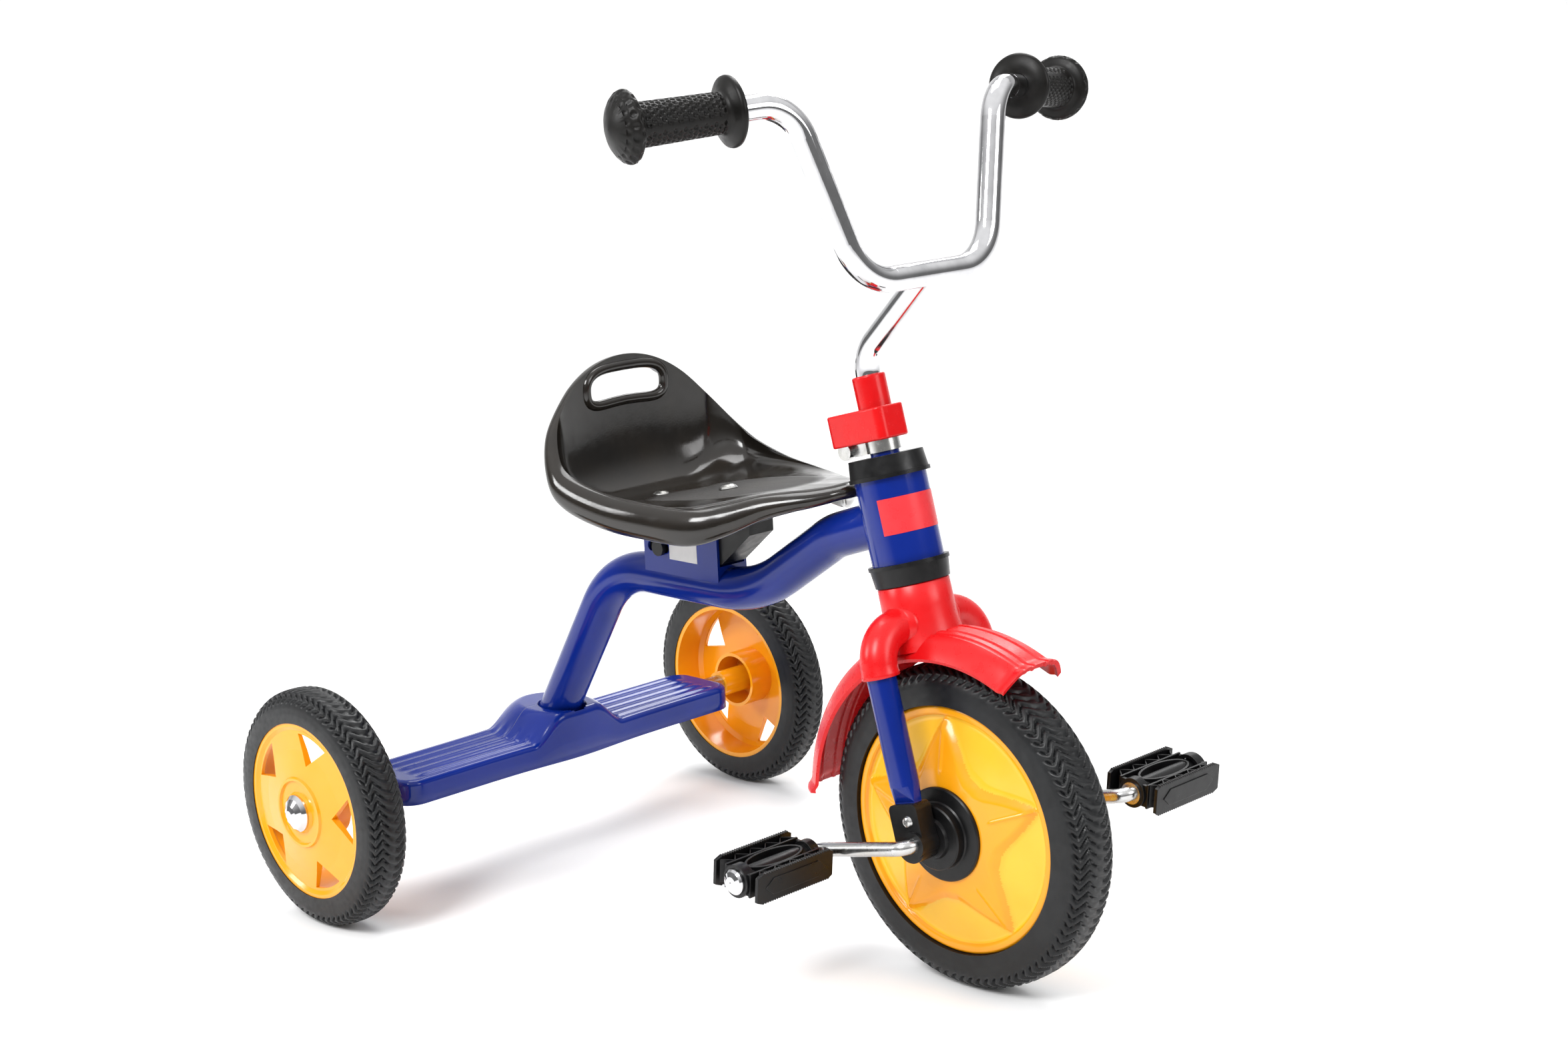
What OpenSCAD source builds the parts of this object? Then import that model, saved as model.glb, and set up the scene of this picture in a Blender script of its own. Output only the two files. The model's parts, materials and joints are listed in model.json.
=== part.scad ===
// Children's tricycle: bent tube frame, driven front wheel, bucket seat.
// +X is forwards, +Y is the rider's left, +Z is up; the origin is on the ground.

/* [Overall] */
// Distance between the front and rear axles
wheelbase = 500; // [460:5:580]
// Distance between the middle planes of the rear wheels
track = 480; // [440:5:560]
// Lean of the steering axis from the vertical, in degrees
head_angle = 14; // [10:1:18]
// Distance on the ground from the front axle to the steering axis
trail = 26; // [22:1:32]

/* [Wheels] */
// Outer diameter of the rear tyres
rear_wheel_d = 200; // [180:2:220]
// Width of the rear tyres
rear_tyre_w = 38; // [30:1:44]
// Diameter of the rear rims where the tyre sits
rear_seat_d = 148; // [130:2:160]
// Outer diameter of the front tyre
front_wheel_d = 250; // [236:2:256]
// Width of the front tyre
front_tyre_w = 46; // [38:1:50]
// Diameter of the front rim where the tyre sits
front_seat_d = 191; // [170:1:200]
// Wall of the moulded wheels
wheel_wall = 3; // [2:0.5:4]
// Number of openings in each rear wheel
rear_openings = 5; // [3:1:6]

/* [Frame] */
// Outer diameter of the spine tube
spine_d = 35; // [30:1:38]
// Wall of the spine tube
spine_wall = 2; // [1:0.5:3]
// Slope of the spine tube above the rear deck, in degrees
spine_rear_angle = 57; // [52:1:62]
// Height of the spine tube's middle under the seat
spine_seat_z = 271.5; // [262:0.5:276]
// Slope of the spine tube's rise to the head tube, in degrees
spine_rise_angle = 33; // [28:1:36]
// Distance from the front axle back to where the rise starts
spine_rise_x = 218.3; // [210:0.1:230]
// Slope of the spine tube where it meets the head tube, in degrees
spine_front_angle = 18; // [10:1:24]
// Distance from the front axle back to the last bend
spine_front_x = 129; // [124:1:134]
// Outer diameter of the head tube
head_d = 55; // [50:1:60]
// Wall of the head tube
head_wall = 3; // [2:0.5:4]
// Distance from the ground to the bottom of the head tube, along the steering axis
head_bottom = 322; // [318:1:326]
// Length of the head tube
head_len = 80; // [76:1:90]

/* [Rear deck] */
// Length of the deck across the tricycle
deck_len = 374; // [340:2:400]
// Width of the deck from back to front
deck_w = 75; // [68:1:90]
// Distance from the rear axle forward to the middle of the deck
deck_x = 7.5; // [0:0.5:12]
// Height of the top of the deck
deck_top_z = 113; // [110:1:118]
// Depth of the deck's skirt
deck_skirt = 21; // [18:1:30]
// Thickness of the deck's sheet
deck_t = 2; // [1.5:0.5:3]
// Height of the dome above the deck
dome_h = 22; // [14:1:28]
// Radius of the dome where it meets the deck
dome_r = 52; // [44:1:56]

/* [Seat] */
// Distance from the rear axle forward to the rear seat bolt
seat_x = 171; // [160:1:175]
// Height of the seat pan at the rear seat bolt
seat_z = 338; // [334:1:350]
// Thickness of the seat shell
seat_t = 3; // [2:0.5:4]
// Distance between the two seat bolts
seat_bolt_gap = 82; // [70:1:90]
// Width of the handle slot in the back of the seat
handle_w = 80; // [60:1:90]
// Height of the handle slot
handle_h = 27; // [20:1:30]

/* [Seat bracket] */
// Length of the bracket
bracket_len = 88; // [80:1:96]
// Width of the bracket over its two plates
bracket_w = 32; // [28:1:34]
// Thickness of the bracket's plates
bracket_t = 2.5; // [2:0.5:3]
// Travel of the seat backwards
seat_back = 12; // [6:1:14]
// Travel of the seat forwards
seat_forward = 5; // [2:1:8]

/* [Fork] */
// Outer diameter of the fork tube and the steerer
fork_d = 22.2; // [20:0.1:25.4]
// Distance from the middle of the wheel to the middle of a fork leg
fork_half = 54; // [50:0.5:58]
// Distance from the ground to the fork crown, along the steering axis
crown_s = 284; // [282:0.5:286]
// Bend radius of the fork's shoulders
shoulder_r = 26; // [22:1:28]
// Outer diameter of the handlebar stem and the handlebar
bar_d = 19; // [17:0.1:20]
// Gap between a turning shaft and its bearing, on the radius
running_gap = 0.05; // [0.02:0.01:0.09]

/* [Mudguard] */
// Gap between the front tyre and the outside of the mudguard
guard_gap = 24.5; // [21:0.5:29]
// Width of the mudguard
guard_w = 62; // [54:1:66]
// Thickness of the mudguard
guard_t = 2.5; // [2:0.5:3]
// Angle of the front lip above the horizontal
guard_front = 62; // [55:1:70]
// Angle of the rear lip above the horizontal, going over the top
guard_rear = 178; // [160:1:185]

/* [Handlebar] */
// Reach of the handlebar in front of the steering axis
bar_reach = 78; // [60:1:90]
// Distance from the ground to the crossbar, along the steering axis
bar_s = 533; // [520:1:545]
// Rise from the crossbar to the grips
bar_rise = 130; // [110:1:140]
// Distance from the middle to each lower corner of the handlebar
bar_low_half = 67; // [55:1:75]
// Distance from the middle to each upper corner of the handlebar
bar_top_half = 108; // [95:1:115]
// Distance from the middle to the end of each grip
bar_half = 240; // [220:1:250]
// Angle that the grips sweep back, in degrees
bar_sweep = 17; // [10:1:24]
// Travel of the stem upwards
stem_travel = 50; // [20:5:70]

/* [Cranks and pedals] */
// Distance from the wheel's axle to the pedal's axle
crank_r = 87; // [80:1:92]
// Diameter of the crank rod
crank_d = 11; // [10:0.5:12]
// Angle of the right crank from the forward direction, in degrees
crank_angle = 192; // [0:1:359]
// Length of a pedal along its axle
pedal_len = 78; // [70:1:84]
// Width of a pedal across its axle
pedal_w = 47; // [40:1:54]
// Height of a pedal
pedal_h = 24.5; // [20:0.5:28]
// Tilt of the pedals, in degrees
pedal_tilt = -6; // [-20:1:20]

/* [Hidden] */
$fn = 64;

// Colours
blue = [0.04, 0.10, 0.50];
red = [0.83, 0.06, 0.09];
yellow = [0.96, 0.66, 0.09];
black = [0.07, 0.07, 0.07];
rubber = [0.10, 0.10, 0.10];
steel = [0.72, 0.72, 0.74];
white = [0.90, 0.90, 0.92];
cream = [0.80, 0.66, 0.32];

// Gap between neighbours that are not a bearing
gap = 0.3;
// Margin by which a cut runs past what it cuts
cut = 1;
// Number of facets on the rounded parts of hulls
soft_fn = 32;
// A bend's wall is this much thinner on each side than the straight tube it runs into
bend_thin = 0.02;
// Length by which a straight tube laps over the end of a bend
bend_lap = 0.2;

// Axle places
rear_r = rear_wheel_d / 2;
front_r = front_wheel_d / 2;
guard_r = front_r + guard_gap;
rear_x = (rear_r - front_r - wheelbase) / 2;
front_x = rear_x + wheelbase;

// Where the front axle lies in the steering frame
axle_s = trail * sin(head_angle) + front_r * cos(head_angle);
axle_offset = front_r * sin(head_angle) - trail * cos(head_angle);

// Rear axle and hubs
rear_axle_r = 5;
rear_axle_z = rear_r;
hub_inner_reach = 30;
hub_outer_reach = 24;
cap_r = 15.5;
cap_h = 9;
cap_grip = 6;
axle_half = track / 2 + hub_outer_reach + gap + cap_grip;

// Steering parts, as distances along the steering axis
fork_r = fork_d / 2;
bar_r = bar_d / 2;
cup_r = 29;
cup_lip_r = 31;
cup_lip_h = 3;
cup_over = 8;
cup_floor = 8.5;
top_cup_s = head_bottom + head_len - cup_over;
bottom_cup_s = head_bottom + cup_over;
guard_top_s = head_bottom - cup_floor - gap;
band_s = top_cup_s + cup_over + cup_floor + 3;
band_h = 19;
band_t = 1.9;
band_r = fork_r + band_t;
ear_x = 33;
ear_end = 38;
ear_t = 2.5;
ear_slit = 3.5;
clamp_bolt_s = band_s + 5;
clamp_bolt_r = 3;
nut_r = 6.5;
nut_h = 5;
steerer_top = band_s + band_h - 2;
cover_s = band_s + 8.8;
cover_h = 24.6;
cover_half = 15.5;
cover_back = 41;
cover_front = 17;
cover_corner = 6;
cover_t = 1.6;
collar_h = 24.5;
collar_r = 12.7;
collar_gap = 0.4;

// Stem and handlebar
stem_foot_s = 345;
stem_lean = 31;
stem_bend_s = bar_s - bar_reach * tan(stem_lean);
stem_bend_r = 30;
bar_lean = 9.5;
bar_low_bend = 42;
bar_top_bend = 34;
bar_wall = 1.5;
grip_len = 96;
grip_r = 15.5;
grip_neck_r = 14.5;
grip_flange_r = 25;
grip_end_t = 2.5;

// Fork legs and axle brackets
leg_foot_s = 172;
tongue_w = 20;
tongue_t = 8;
tongue_top_s = 159;
tongue_foot_s = 137;
steerer_slit = 1.5;
slit_below = 4;
bracket_half_w = 14;
bracket_in = 46;
bracket_out = 62;
bracket_top_s = 158;
boss_r = 10;
boss_out = 64;
screw_x = 3;
screw_s = 145;
screw_r = 2.5;
screw_head_r = 4.5;
screw_head_h = 2.5;

// Cranks and pedals
crank_rod_r = crank_d / 2;
crank_bend = 9;
crank_in_y = 73;
crank_out_y = 76.5;
pedal_in = 85.7;
pedal_out = pedal_in + pedal_len;
pedal_plate = 4;
pedal_barrel_r = 9.5;
pedal_wall = 3.5;
washer_r = 8.5;
pedal_cap_r = 9.7;
pedal_cap_h = 5;
bush_r = 8;
bush_t = 3;

// Hub flanges of the front wheel
flange_y = 30.5;
flange_r = 36;
flange_t = 3;
flange_step_r = 25;
flange_out = bracket_in - gap;

// ---------------------------------------------------------------- helpers

function unit(v) = v / norm(v);
function turn(a, b, c) = acos(unit(b - a) * unit(c - b));
function set_back(a, b, c, r) = r * tan(turn(a, b, c) / 2);

// Matrix that puts local X, Y and Z along x, y and z, at p
function place(x, y, z, p) = [
    [x[0], y[0], z[0], p[0]],
    [x[1], y[1], z[1], p[1]],
    [x[2], y[2], z[2], p[2]],
    [0, 0, 0, 1]
];

// Any direction at right angles to u
function side_of(u) = unit(cross(u, abs(u[1]) > 0.9 ? [1, 0, 0] : [0, 1, 0]));

module ring_2d(r, bore) {
    difference() {
        circle(r);
        if (bore > 0) circle(bore);
    }
}

// Round rod or tube between two points
module straight(a, b, r, bore = 0) {
    u = unit(b - a);
    x = side_of(u);
    multmatrix(place(x, cross(u, x), u, a))
        linear_extrude(norm(b - a)) ring_2d(r, bore);
}

// Round bend at point b, between the directions a to b and b to c
module bend(a, b, c, bend_r, r, bore = 0) {
    u = unit(b - a);
    v = unit(c - b);
    n = unit(v - (v * u) * u);
    start = b - u * set_back(a, b, c, bend_r);
    multmatrix(place(-n, u, cross(u, n), start + n * bend_r))
        rotate_extrude(angle = turn(a, b, c)) translate([bend_r, 0])
            ring_2d(r - bend_thin, bore > 0 ? bore + bend_thin : 0);
}

// Rod or tube along points, with a bend radius at each inner point
module bent_tube(points, bends, r, bore = 0) {
    last = len(points) - 1;
    for (i = [0:last - 1]) {
        u = unit(points[i + 1] - points[i]);
        back = i == 0 ? 0 : set_back(points[i - 1], points[i], points[i + 1], bends[i - 1]) - bend_lap;
        ahead = i == last - 1 ? 0 : set_back(points[i], points[i + 1], points[i + 2], bends[i]) - bend_lap;
        straight(points[i] + u * back, points[i + 1] - u * ahead, r, bore);
    }
    for (i = [1:last - 1]) bend(points[i - 1], points[i], points[i + 1], bends[i - 1], r, bore);
}

// Cylinder along Y from y1 to y2
module y_rod(r, y1, y2) {
    translate([0, y1, 0]) rotate([-90, 0, 0]) cylinder(h = y2 - y1, r = r);
}

// Flat outline drawn in X and Z, extruded from y1 to y2
module y_plate(y1, y2) {
    translate([0, y2, 0]) rotate([90, 0, 0]) linear_extrude(y2 - y1) children();
}

// Turns a profile of [radius, distance along Y] round the Y axis
module y_turned() {
    rotate([-90, 0, 0]) rotate_extrude() children();
}

module rounded_rect(l, w, r) {
    square([l - 2 * r, w], center = true);
    square([l, w - 2 * r], center = true);
    for (x = [-1, 1]) for (y = [-1, 1]) translate([x * (l / 2 - r), y * (w / 2 - r)]) circle(r);
}

// Steering frame: Z runs up the steering axis from the ground, X is forwards
module steering() {
    translate([front_x + trail, 0, 0]) rotate([0, -head_angle, 0]) children();
}

module at_rear_axle() {
    translate([rear_x, 0, rear_axle_z]) children();
}

module at_front_axle() {
    translate([front_x, 0, front_r]) children();
}

// Crank frame: X runs along the right crank from the front axle
module crank_frame() {
    at_front_axle() rotate([0, -crank_angle, 0]) children();
}

// Pedal frame on one side: +1 is the left pedal, -1 the right
module pedal_frame(hand) {
    crank_frame() translate([-hand * crank_r, 0, 0]) rotate([0, crank_angle + pedal_tilt, 0]) children();
}

// ---------------------------------------------------------------- frame

spine_r = spine_d / 2;
spine_foot_x = spine_seat_z - rear_axle_z;
spine_corner_1 = [rear_x + spine_foot_x / tan(spine_rear_angle), 0, spine_seat_z];
spine_corner_2 = [front_x - spine_rise_x, 0, spine_seat_z];
spine_corner_3 = [
    front_x - spine_front_x, 0,
    spine_seat_z + (spine_rise_x - spine_front_x) * tan(spine_rise_angle)
];
spine_front_run = 60;
spine_start_back = 30;
spine_path = [
    [rear_x, 0, rear_axle_z] - spine_start_back * [cos(spine_rear_angle), 0, sin(spine_rear_angle)],
    spine_corner_1,
    spine_corner_2,
    spine_corner_3,
    spine_corner_3 + spine_front_run * [cos(spine_front_angle), 0, sin(spine_front_angle)]
];
spine_bends = [80, 130, 60];
deck_bottom_z = deck_top_z - deck_skirt;
spine_foot_z = deck_bottom_z + 1.5;

module spine_tube() {
    color(blue) difference() {
        bent_tube(spine_path, spine_bends, spine_r, spine_r - spine_wall);
        steering() translate([0, 0, head_bottom - cut]) cylinder(h = head_len + 2 * cut, r = head_d / 2);
        steering() translate([0, -head_d, 0]) cube([4 * head_d, 2 * head_d, 2 * head_bottom]);
        translate([rear_x - deck_w, -deck_w, 0]) cube([2 * deck_w, 2 * deck_w, spine_foot_z]);
        at_rear_axle() y_rod(rear_axle_r, -spine_d, spine_d);
    }
}

module head_tube() {
    color(blue) steering() translate([0, 0, head_bottom]) linear_extrude(head_len)
        ring_2d(head_d / 2, head_d / 2 - head_wall);
}

badge_t = 0.3;
badge_s = 352;
badge_h = 27;
badge_arc = 150;

module head_badge() {
    color(red) steering() translate([0, 0, badge_s]) rotate([0, 0, -badge_arc / 2])
        rotate_extrude(angle = badge_arc) translate([head_d / 2, 0]) square([badge_t, badge_h]);
}

// Cup that closes one end of the head tube: closed end at z = 0, open end up
module head_cup() {
    height = cup_over + cup_floor;
    difference() {
        union() {
            cylinder(h = height - cup_lip_h, r1 = cup_r - 0.5, r2 = cup_r + 1);
            translate([0, 0, height - cup_lip_h]) cylinder(h = cup_lip_h, r = cup_lip_r);
        }
        translate([0, 0, cup_floor]) cylinder(h = height, r = head_d / 2);
        translate([0, 0, -cut]) cylinder(h = height, r = fork_r + running_gap);
    }
}

module head_cup_top() {
    color(black) steering() translate([0, 0, head_bottom + head_len + cup_floor]) mirror([0, 0, 1]) head_cup();
}

module head_cup_bottom() {
    color(black) steering() translate([0, 0, head_bottom - cup_floor]) head_cup();
}

bracket_rear_x = rear_x + 165;
bracket_foot_z = spine_seat_z + 6;
bracket_floor_z = spine_seat_z + spine_r + bracket_t;
bracket_low_z = 314;
cross_x = seat_x + 15;
cross_z = 300;
cross_r = 4;
slot_r = cross_r + gap;

// Side view of a bracket plate, with the top sloped like the seat pan
module bracket_side() {
    polygon([
        [bracket_rear_x, bracket_foot_z],
        [bracket_rear_x + bracket_len, bracket_foot_z],
        [bracket_rear_x + bracket_len, bracket_low_z + bracket_len * seat_slope - 1],
        [bracket_rear_x, bracket_low_z - 1]
    ]);
}

module bracket_slot() {
    for (x = [-seat_back, seat_forward]) translate([rear_x + cross_x + x, cross_z]) circle(slot_r);
    translate([rear_x + cross_x - seat_back, cross_z - slot_r]) square([seat_back + seat_forward, 2 * slot_r]);
}

module seat_bracket() {
    color(blue) difference() {
        union() {
            for (y = [-bracket_w / 2, bracket_w / 2 - bracket_t]) y_plate(y, y + bracket_t) difference() {
                bracket_side();
                bracket_slot();
            }
            translate([bracket_rear_x, -bracket_w / 2, bracket_foot_z])
                cube([bracket_len, bracket_w, bracket_floor_z - bracket_foot_z]);
        }
        bent_tube(spine_path, spine_bends, spine_r);
    }
}

label_t = 0.2;
label_x = 31;
label_len = 33;
label_h = 17;

module bracket_label() {
    color(white) translate([bracket_rear_x + label_x, -bracket_w / 2 - label_t, cross_z - label_h / 2])
        cube([label_len, label_t, label_h]);
}

// ---------------------------------------------------------------- rear deck

deck_corner = 18;
deck_edge = 5;
deck_mid_x = rear_x + deck_x;
dome_mid_x = rear_x + 19;
dome_top_r = 25;
dome_steps = 10;
rib_r = 7;
rib_stand = 1.3;
rib_gap = 14;
rib_count = 4;
rib_inner = 56;
rib_outer = 168;

// Outer or inner solid of the pressed tray, shrunk all round by inset
module deck_form(inset, low) {
    x = deck_w / 2 - inset - (deck_corner - inset);
    y = deck_len / 2 - inset - (deck_corner - inset);
    hull() for (sx = [-1, 1]) for (sy = [-1, 1]) translate([deck_mid_x + sx * x, sy * y, 0]) {
        translate([0, 0, low]) cylinder(h = 1, r = deck_corner - inset, $fn = soft_fn);
        translate([0, 0, deck_top_z - inset - deck_edge]) rotate_extrude($fn = soft_fn) {
            square([deck_corner - inset - deck_edge, deck_edge]);
            translate([deck_corner - inset - deck_edge, 0]) intersection() {
                circle(deck_edge, $fn = soft_fn);
                square(deck_edge);
            }
        }
    }
}

// Height of the dome's flank, falling from 1 at the top to 0 at the foot
function dome_flank(t) = (1 + cos(180 * t)) / 2;

module dome_form(inset, low) {
    outer = dome_r - inset;
    translate([dome_mid_x, 0, 0]) rotate_extrude() polygon(concat(
        [[0, low], [outer, low]],
        [for (i = [dome_steps:-1:0]) let (t = i / dome_steps)
            [dome_top_r - inset + (outer - dome_top_r + inset) * t,
             deck_top_z - inset + dome_h * dome_flank(t)]],
        [[0, deck_top_z - inset + dome_h]]
    ));
}

module deck_limits(inset) {
    translate([deck_mid_x, 0, 0]) translate([-deck_w / 2 + inset, -deck_w, 0])
        cube([deck_w - 2 * inset, 2 * deck_w, 2 * deck_top_z]);
}

module deck_ribs() {
    for (side = [-1, 1]) for (i = [0:rib_count - 1])
        translate([deck_mid_x + (i - (rib_count - 1) / 2) * rib_gap, 0, deck_top_z - rib_r + rib_stand])
            y_rod(rib_r, side > 0 ? rib_inner : -rib_outer, side > 0 ? rib_outer : -rib_inner);
}

module rear_deck() {
    hole_r = spine_r + 1.5;
    color(blue) difference() {
        union() {
            deck_form(0, deck_bottom_z);
            intersection() {
                dome_form(0, deck_top_z - 1);
                deck_limits(0);
            }
            difference() {
                deck_ribs();
                translate([deck_mid_x - deck_w, -deck_len, 0])
                    cube([2 * deck_w, 2 * deck_len, deck_top_z - 0.5]);
            }
        }
        deck_form(deck_t, deck_bottom_z - cut);
        intersection() {
            dome_form(deck_t, deck_bottom_z + deck_t);
            deck_limits(deck_t);
        }
        straight(spine_path[0], spine_path[1], hole_r);
        at_rear_axle() y_rod(rear_axle_r, -deck_len, deck_len);
    }
}

// ---------------------------------------------------------------- rear axle

module rear_axle() {
    color(steel) at_rear_axle() y_rod(rear_axle_r, -axle_half, axle_half);
}

module axle_spacers() {
    spacer_r = 9;
    for (side = [-1, 1]) color(steel) at_rear_axle() scale([1, side, 1]) difference() {
        y_rod(spacer_r, deck_len / 2, track / 2 - hub_inner_reach - gap);
        y_rod(rear_axle_r, 0, track);
    }
}

module axle_caps() {
    base = track / 2 + hub_outer_reach + gap;
    for (side = [-1, 1]) color(steel) at_rear_axle() mirror([0, side < 0 ? 1 : 0, 0]) difference() {
        translate([0, base, 0]) y_turned() polygon([
            [0, 0], [cap_r, 0], [cap_r, 1.5], [cap_r - 3, 4.5], [cap_r - 8, 7.5], [4, cap_h], [0, cap_h]
        ]);
        y_rod(rear_axle_r, 0, axle_half);
    }
}

// ---------------------------------------------------------------- seat

// Rise of the seat pan for each millimetre forwards
seat_slope = 0.185;
// Point from which the seat's lines run out to its rim
seat_mid_x = 60;
seat_bowl = 6;
seat_lip = 7;
seat_samples = 4;
// Half of the rim, from the nose round to the top of the back, with the skirt's depth
seat_rim = [
    [215, 0, 35.5, 12], [206, 11, 33, 12.5], [195, 22, 31, 14], [184, 31, 30, 16],
    [164, 46, 27, 20], [144, 66, 21, 25], [124, 82, 18, 28], [88, 91, 20, 28],
    [48, 97, 24, 28], [9, 100, 34, 28], [-9, 97, 47, 28], [-26, 82, 72, 22],
    [-33, 58, 96, 16], [-36.5, 30, 111, 12], [-37.5, 0, 116, 12]
];
seat_steps = [0.15, 0.3, 0.45, 0.58, 0.7, 0.79, 0.86, 0.92, 0.96, 0.985, 1];

function flip_y(p) = [p[0], -p[1], p[2], p[3]];
rim_last = len(seat_rim) - 1;
rim_loop = concat(seat_rim, [for (i = [rim_last - 1:-1:1]) flip_y(seat_rim[i])]);
rim_n = len(rim_loop);
function rim_at(i) = rim_loop[(i + rim_n) % rim_n];

// Smooth curve through four points
function spline(a, b, c, d, t) =
    0.5 * ((2 * b) + (c - a) * t + (2 * a - 5 * b + 4 * c - d) * t * t
    + (3 * b - a - 3 * c + d) * t * t * t);
rim_smooth = [for (i = [0:rim_n - 1]) for (k = [0:seat_samples - 1])
    spline(rim_at(i - 1), rim_at(i), rim_at(i + 1), rim_at(i + 2), k / seat_samples)];
loop_n = len(rim_smooth);
function loop_at(i) = rim_smooth[(i + loop_n) % loop_n];
// Direction straight out of the rim, in plan
function rim_out(i) =
    let (d = loop_at(i + 1) - loop_at(i - 1))
    unit([d[1], -d[0], 0]);

function pan_z(x) = 0.21 * x - 0.00025 * x * x;
function bowl(t) = 1 - pow(1 - pow(t, seat_bowl), 1 / seat_bowl);

// Height of the seat's top surface along its middle, behind seat_mid_x
function seat_floor(x) =
    let (back = seat_rim[rim_last])
    pan_z(x) + (back[2] - pan_z(back[0])) * bowl(max(0, seat_mid_x - x) / (seat_mid_x - back[0]));

// Point of the seat's top surface on line i, at fraction t from the middle to the rim
function seat_top(i, t) =
    let (r = loop_at(i))
    let (x = seat_mid_x + (r[0] - seat_mid_x) * t)
    [x, r[1] * t, pan_z(x) + (r[2] - pan_z(r[0])) * bowl(t)];

function seat_under(i, t) =
    let (w = pow(t, 6))
    seat_top(i, t) + rim_out(i) * seat_t * w - [0, 0, seat_t * (1 - 0.5 * w)];

function seat_line(i) =
    let (r = loop_at(i))
    let (p = [r[0], r[1], r[2]])
    let (n = -rim_out(i))
    concat(
        [for (t = seat_steps) seat_top(i, t)],
        [
            p - n * 2 + [0, 0, 1],
            p - n * 5 - [0, 0, 1],
            p - n * seat_lip - [0, 0, 5],
            p - n * (seat_lip + 1) - [0, 0, r[3]],
            p - n * (seat_lip + 1 - seat_t) - [0, 0, r[3]],
            p - n * (seat_lip - seat_t) - [0, 0, 6],
        ],
        [for (k = [len(seat_steps) - 1:-1:0]) seat_under(i, seat_steps[k])]
    );

module seat_form() {
    lines = [for (i = [0:loop_n - 1]) seat_line(i)];
    m = len(lines[0]);
    points = concat(
        [for (l = lines) for (p = l) p],
        [[seat_mid_x, 0, pan_z(seat_mid_x)], [seat_mid_x, 0, pan_z(seat_mid_x) - seat_t]]
    );
    top = loop_n * m;
    faces = concat(
        [for (i = [0:loop_n - 1]) for (k = [0:m - 2]) each let (j = (i + 1) % loop_n)
            [[i * m + k, i * m + k + 1, j * m + k + 1], [i * m + k, j * m + k + 1, j * m + k]]],
        [for (i = [0:loop_n - 1]) [top, i * m, ((i + 1) % loop_n) * m]],
        [for (i = [0:loop_n - 1]) [top + 1, ((i + 1) % loop_n) * m + m - 1, i * m + m - 1]]
    );
    polyhedron(points, faces, convexity = 8);
}

module at_seat() {
    translate([rear_x + seat_x, 0, seat_z]) children();
}

handle_mid_z = 89;
seat_bolt_r = 4;
seat_head_r = 8;
seat_head_h = 3;
seat_bolt_depth = 24;

// Places its children at each seat bolt, square to the pan
module at_seat_bolts() {
    for (x = [0, seat_bolt_gap])
        translate([x, 0, seat_floor(x)]) rotate([0, -atan(seat_floor(x + 1) - seat_floor(x)), 0]) children();
}

module seat_shell() {
    color(black) at_seat() difference() {
        seat_form();
        translate([-2 * seat_lip, 0, handle_mid_z]) rotate([90, 0, -90]) linear_extrude(10 * seat_lip) {
            square([handle_w - handle_h, handle_h], center = true);
            for (x = [-1, 1]) translate([x * (handle_w - handle_h) / 2, 0]) circle(handle_h / 2);
        }
        at_seat_bolts() translate([0, 0, -seat_bolt_depth]) cylinder(h = 2 * seat_bolt_depth, r = seat_bolt_r);
    }
}

block_rear = -9;
block_front = 118;
block_nose = 84;
block_low = bracket_floor_z + gap;
block_half = bracket_w / 2 - bracket_t - gap;

module seat_mount_block() {
    drop = seat_t + 1;
    color(black) difference() {
        at_seat() y_plate(-block_half, block_half) polygon([
            [block_rear, -seat_z + block_low],
            [block_nose, -seat_z + block_low + 2],
            [block_front, -seat_z + block_low + 30],
            [block_front, pan_z(block_front) - drop],
            [seat_bolt_gap, pan_z(seat_bolt_gap) - drop],
            [0, seat_floor(0) - drop],
            [block_rear, seat_floor(block_rear) - drop]
        ]);
        at_seat() at_seat_bolts() translate([0, 0, -seat_bolt_depth])
            cylinder(h = 2 * seat_bolt_depth, r = seat_bolt_r);
        translate([rear_x + cross_x, 0, cross_z]) y_rod(cross_r, -bracket_w, bracket_w);
    }
}

module seat_bolts() {
    color(steel) at_seat() at_seat_bolts() {
        translate([0, 0, 0.6]) rotate_extrude() polygon([
            [0, 0], [seat_head_r, 0], [seat_head_r - 1, 1.5], [seat_head_r - 4, seat_head_h], [0, seat_head_h]
        ]);
        translate([0, 0, -seat_bolt_depth]) cylinder(h = seat_bolt_depth + 1, r = seat_bolt_r);
    }
}

cross_head_r = 6.5;
cross_head_h = 4;

module seat_cross_bolt() {
    reach = bracket_w / 2 + label_t + gap;
    color(black) translate([rear_x + cross_x, 0, cross_z]) {
        y_rod(cross_r, -reach, reach + cross_head_h);
        y_rod(cross_head_r, -reach - cross_head_h, -reach);
    }
}

module seat_cross_nut() {
    reach = bracket_w / 2 + label_t + gap;
    color(steel) translate([rear_x + cross_x, 0, cross_z]) difference() {
        translate([0, reach, 0]) rotate([-90, 0, 0]) cylinder(h = cross_head_h, r = cross_head_r, $fn = 6);
        y_rod(cross_r, 0, 2 * bracket_w);
    }
}

// ---------------------------------------------------------------- wheels

tyre_steps = 16;

// Section of a tyre: radius outwards, width along Y
function tyre_section(outer, seat, half_w) = [for (i = [0:tyre_steps]) let (a = 180 * i / tyre_steps)
    [seat + (outer - seat) * pow(sin(a), 0.75),
     half_w * sign(cos(a)) * pow(abs(cos(a)), 0.6)]];

module tyre(outer, seat, half_w) {
    color(rubber) y_turned() polygon(tyre_section(outer, seat, half_w));
}

rear_hub_r = 12;
rear_ring_r = 29;
rear_barrel = 4;
opening_angle = 75;
opening_in = 42;
opening_out = rear_seat_d / 2 - 8.2;
opening_spread = 0.9;

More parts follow.
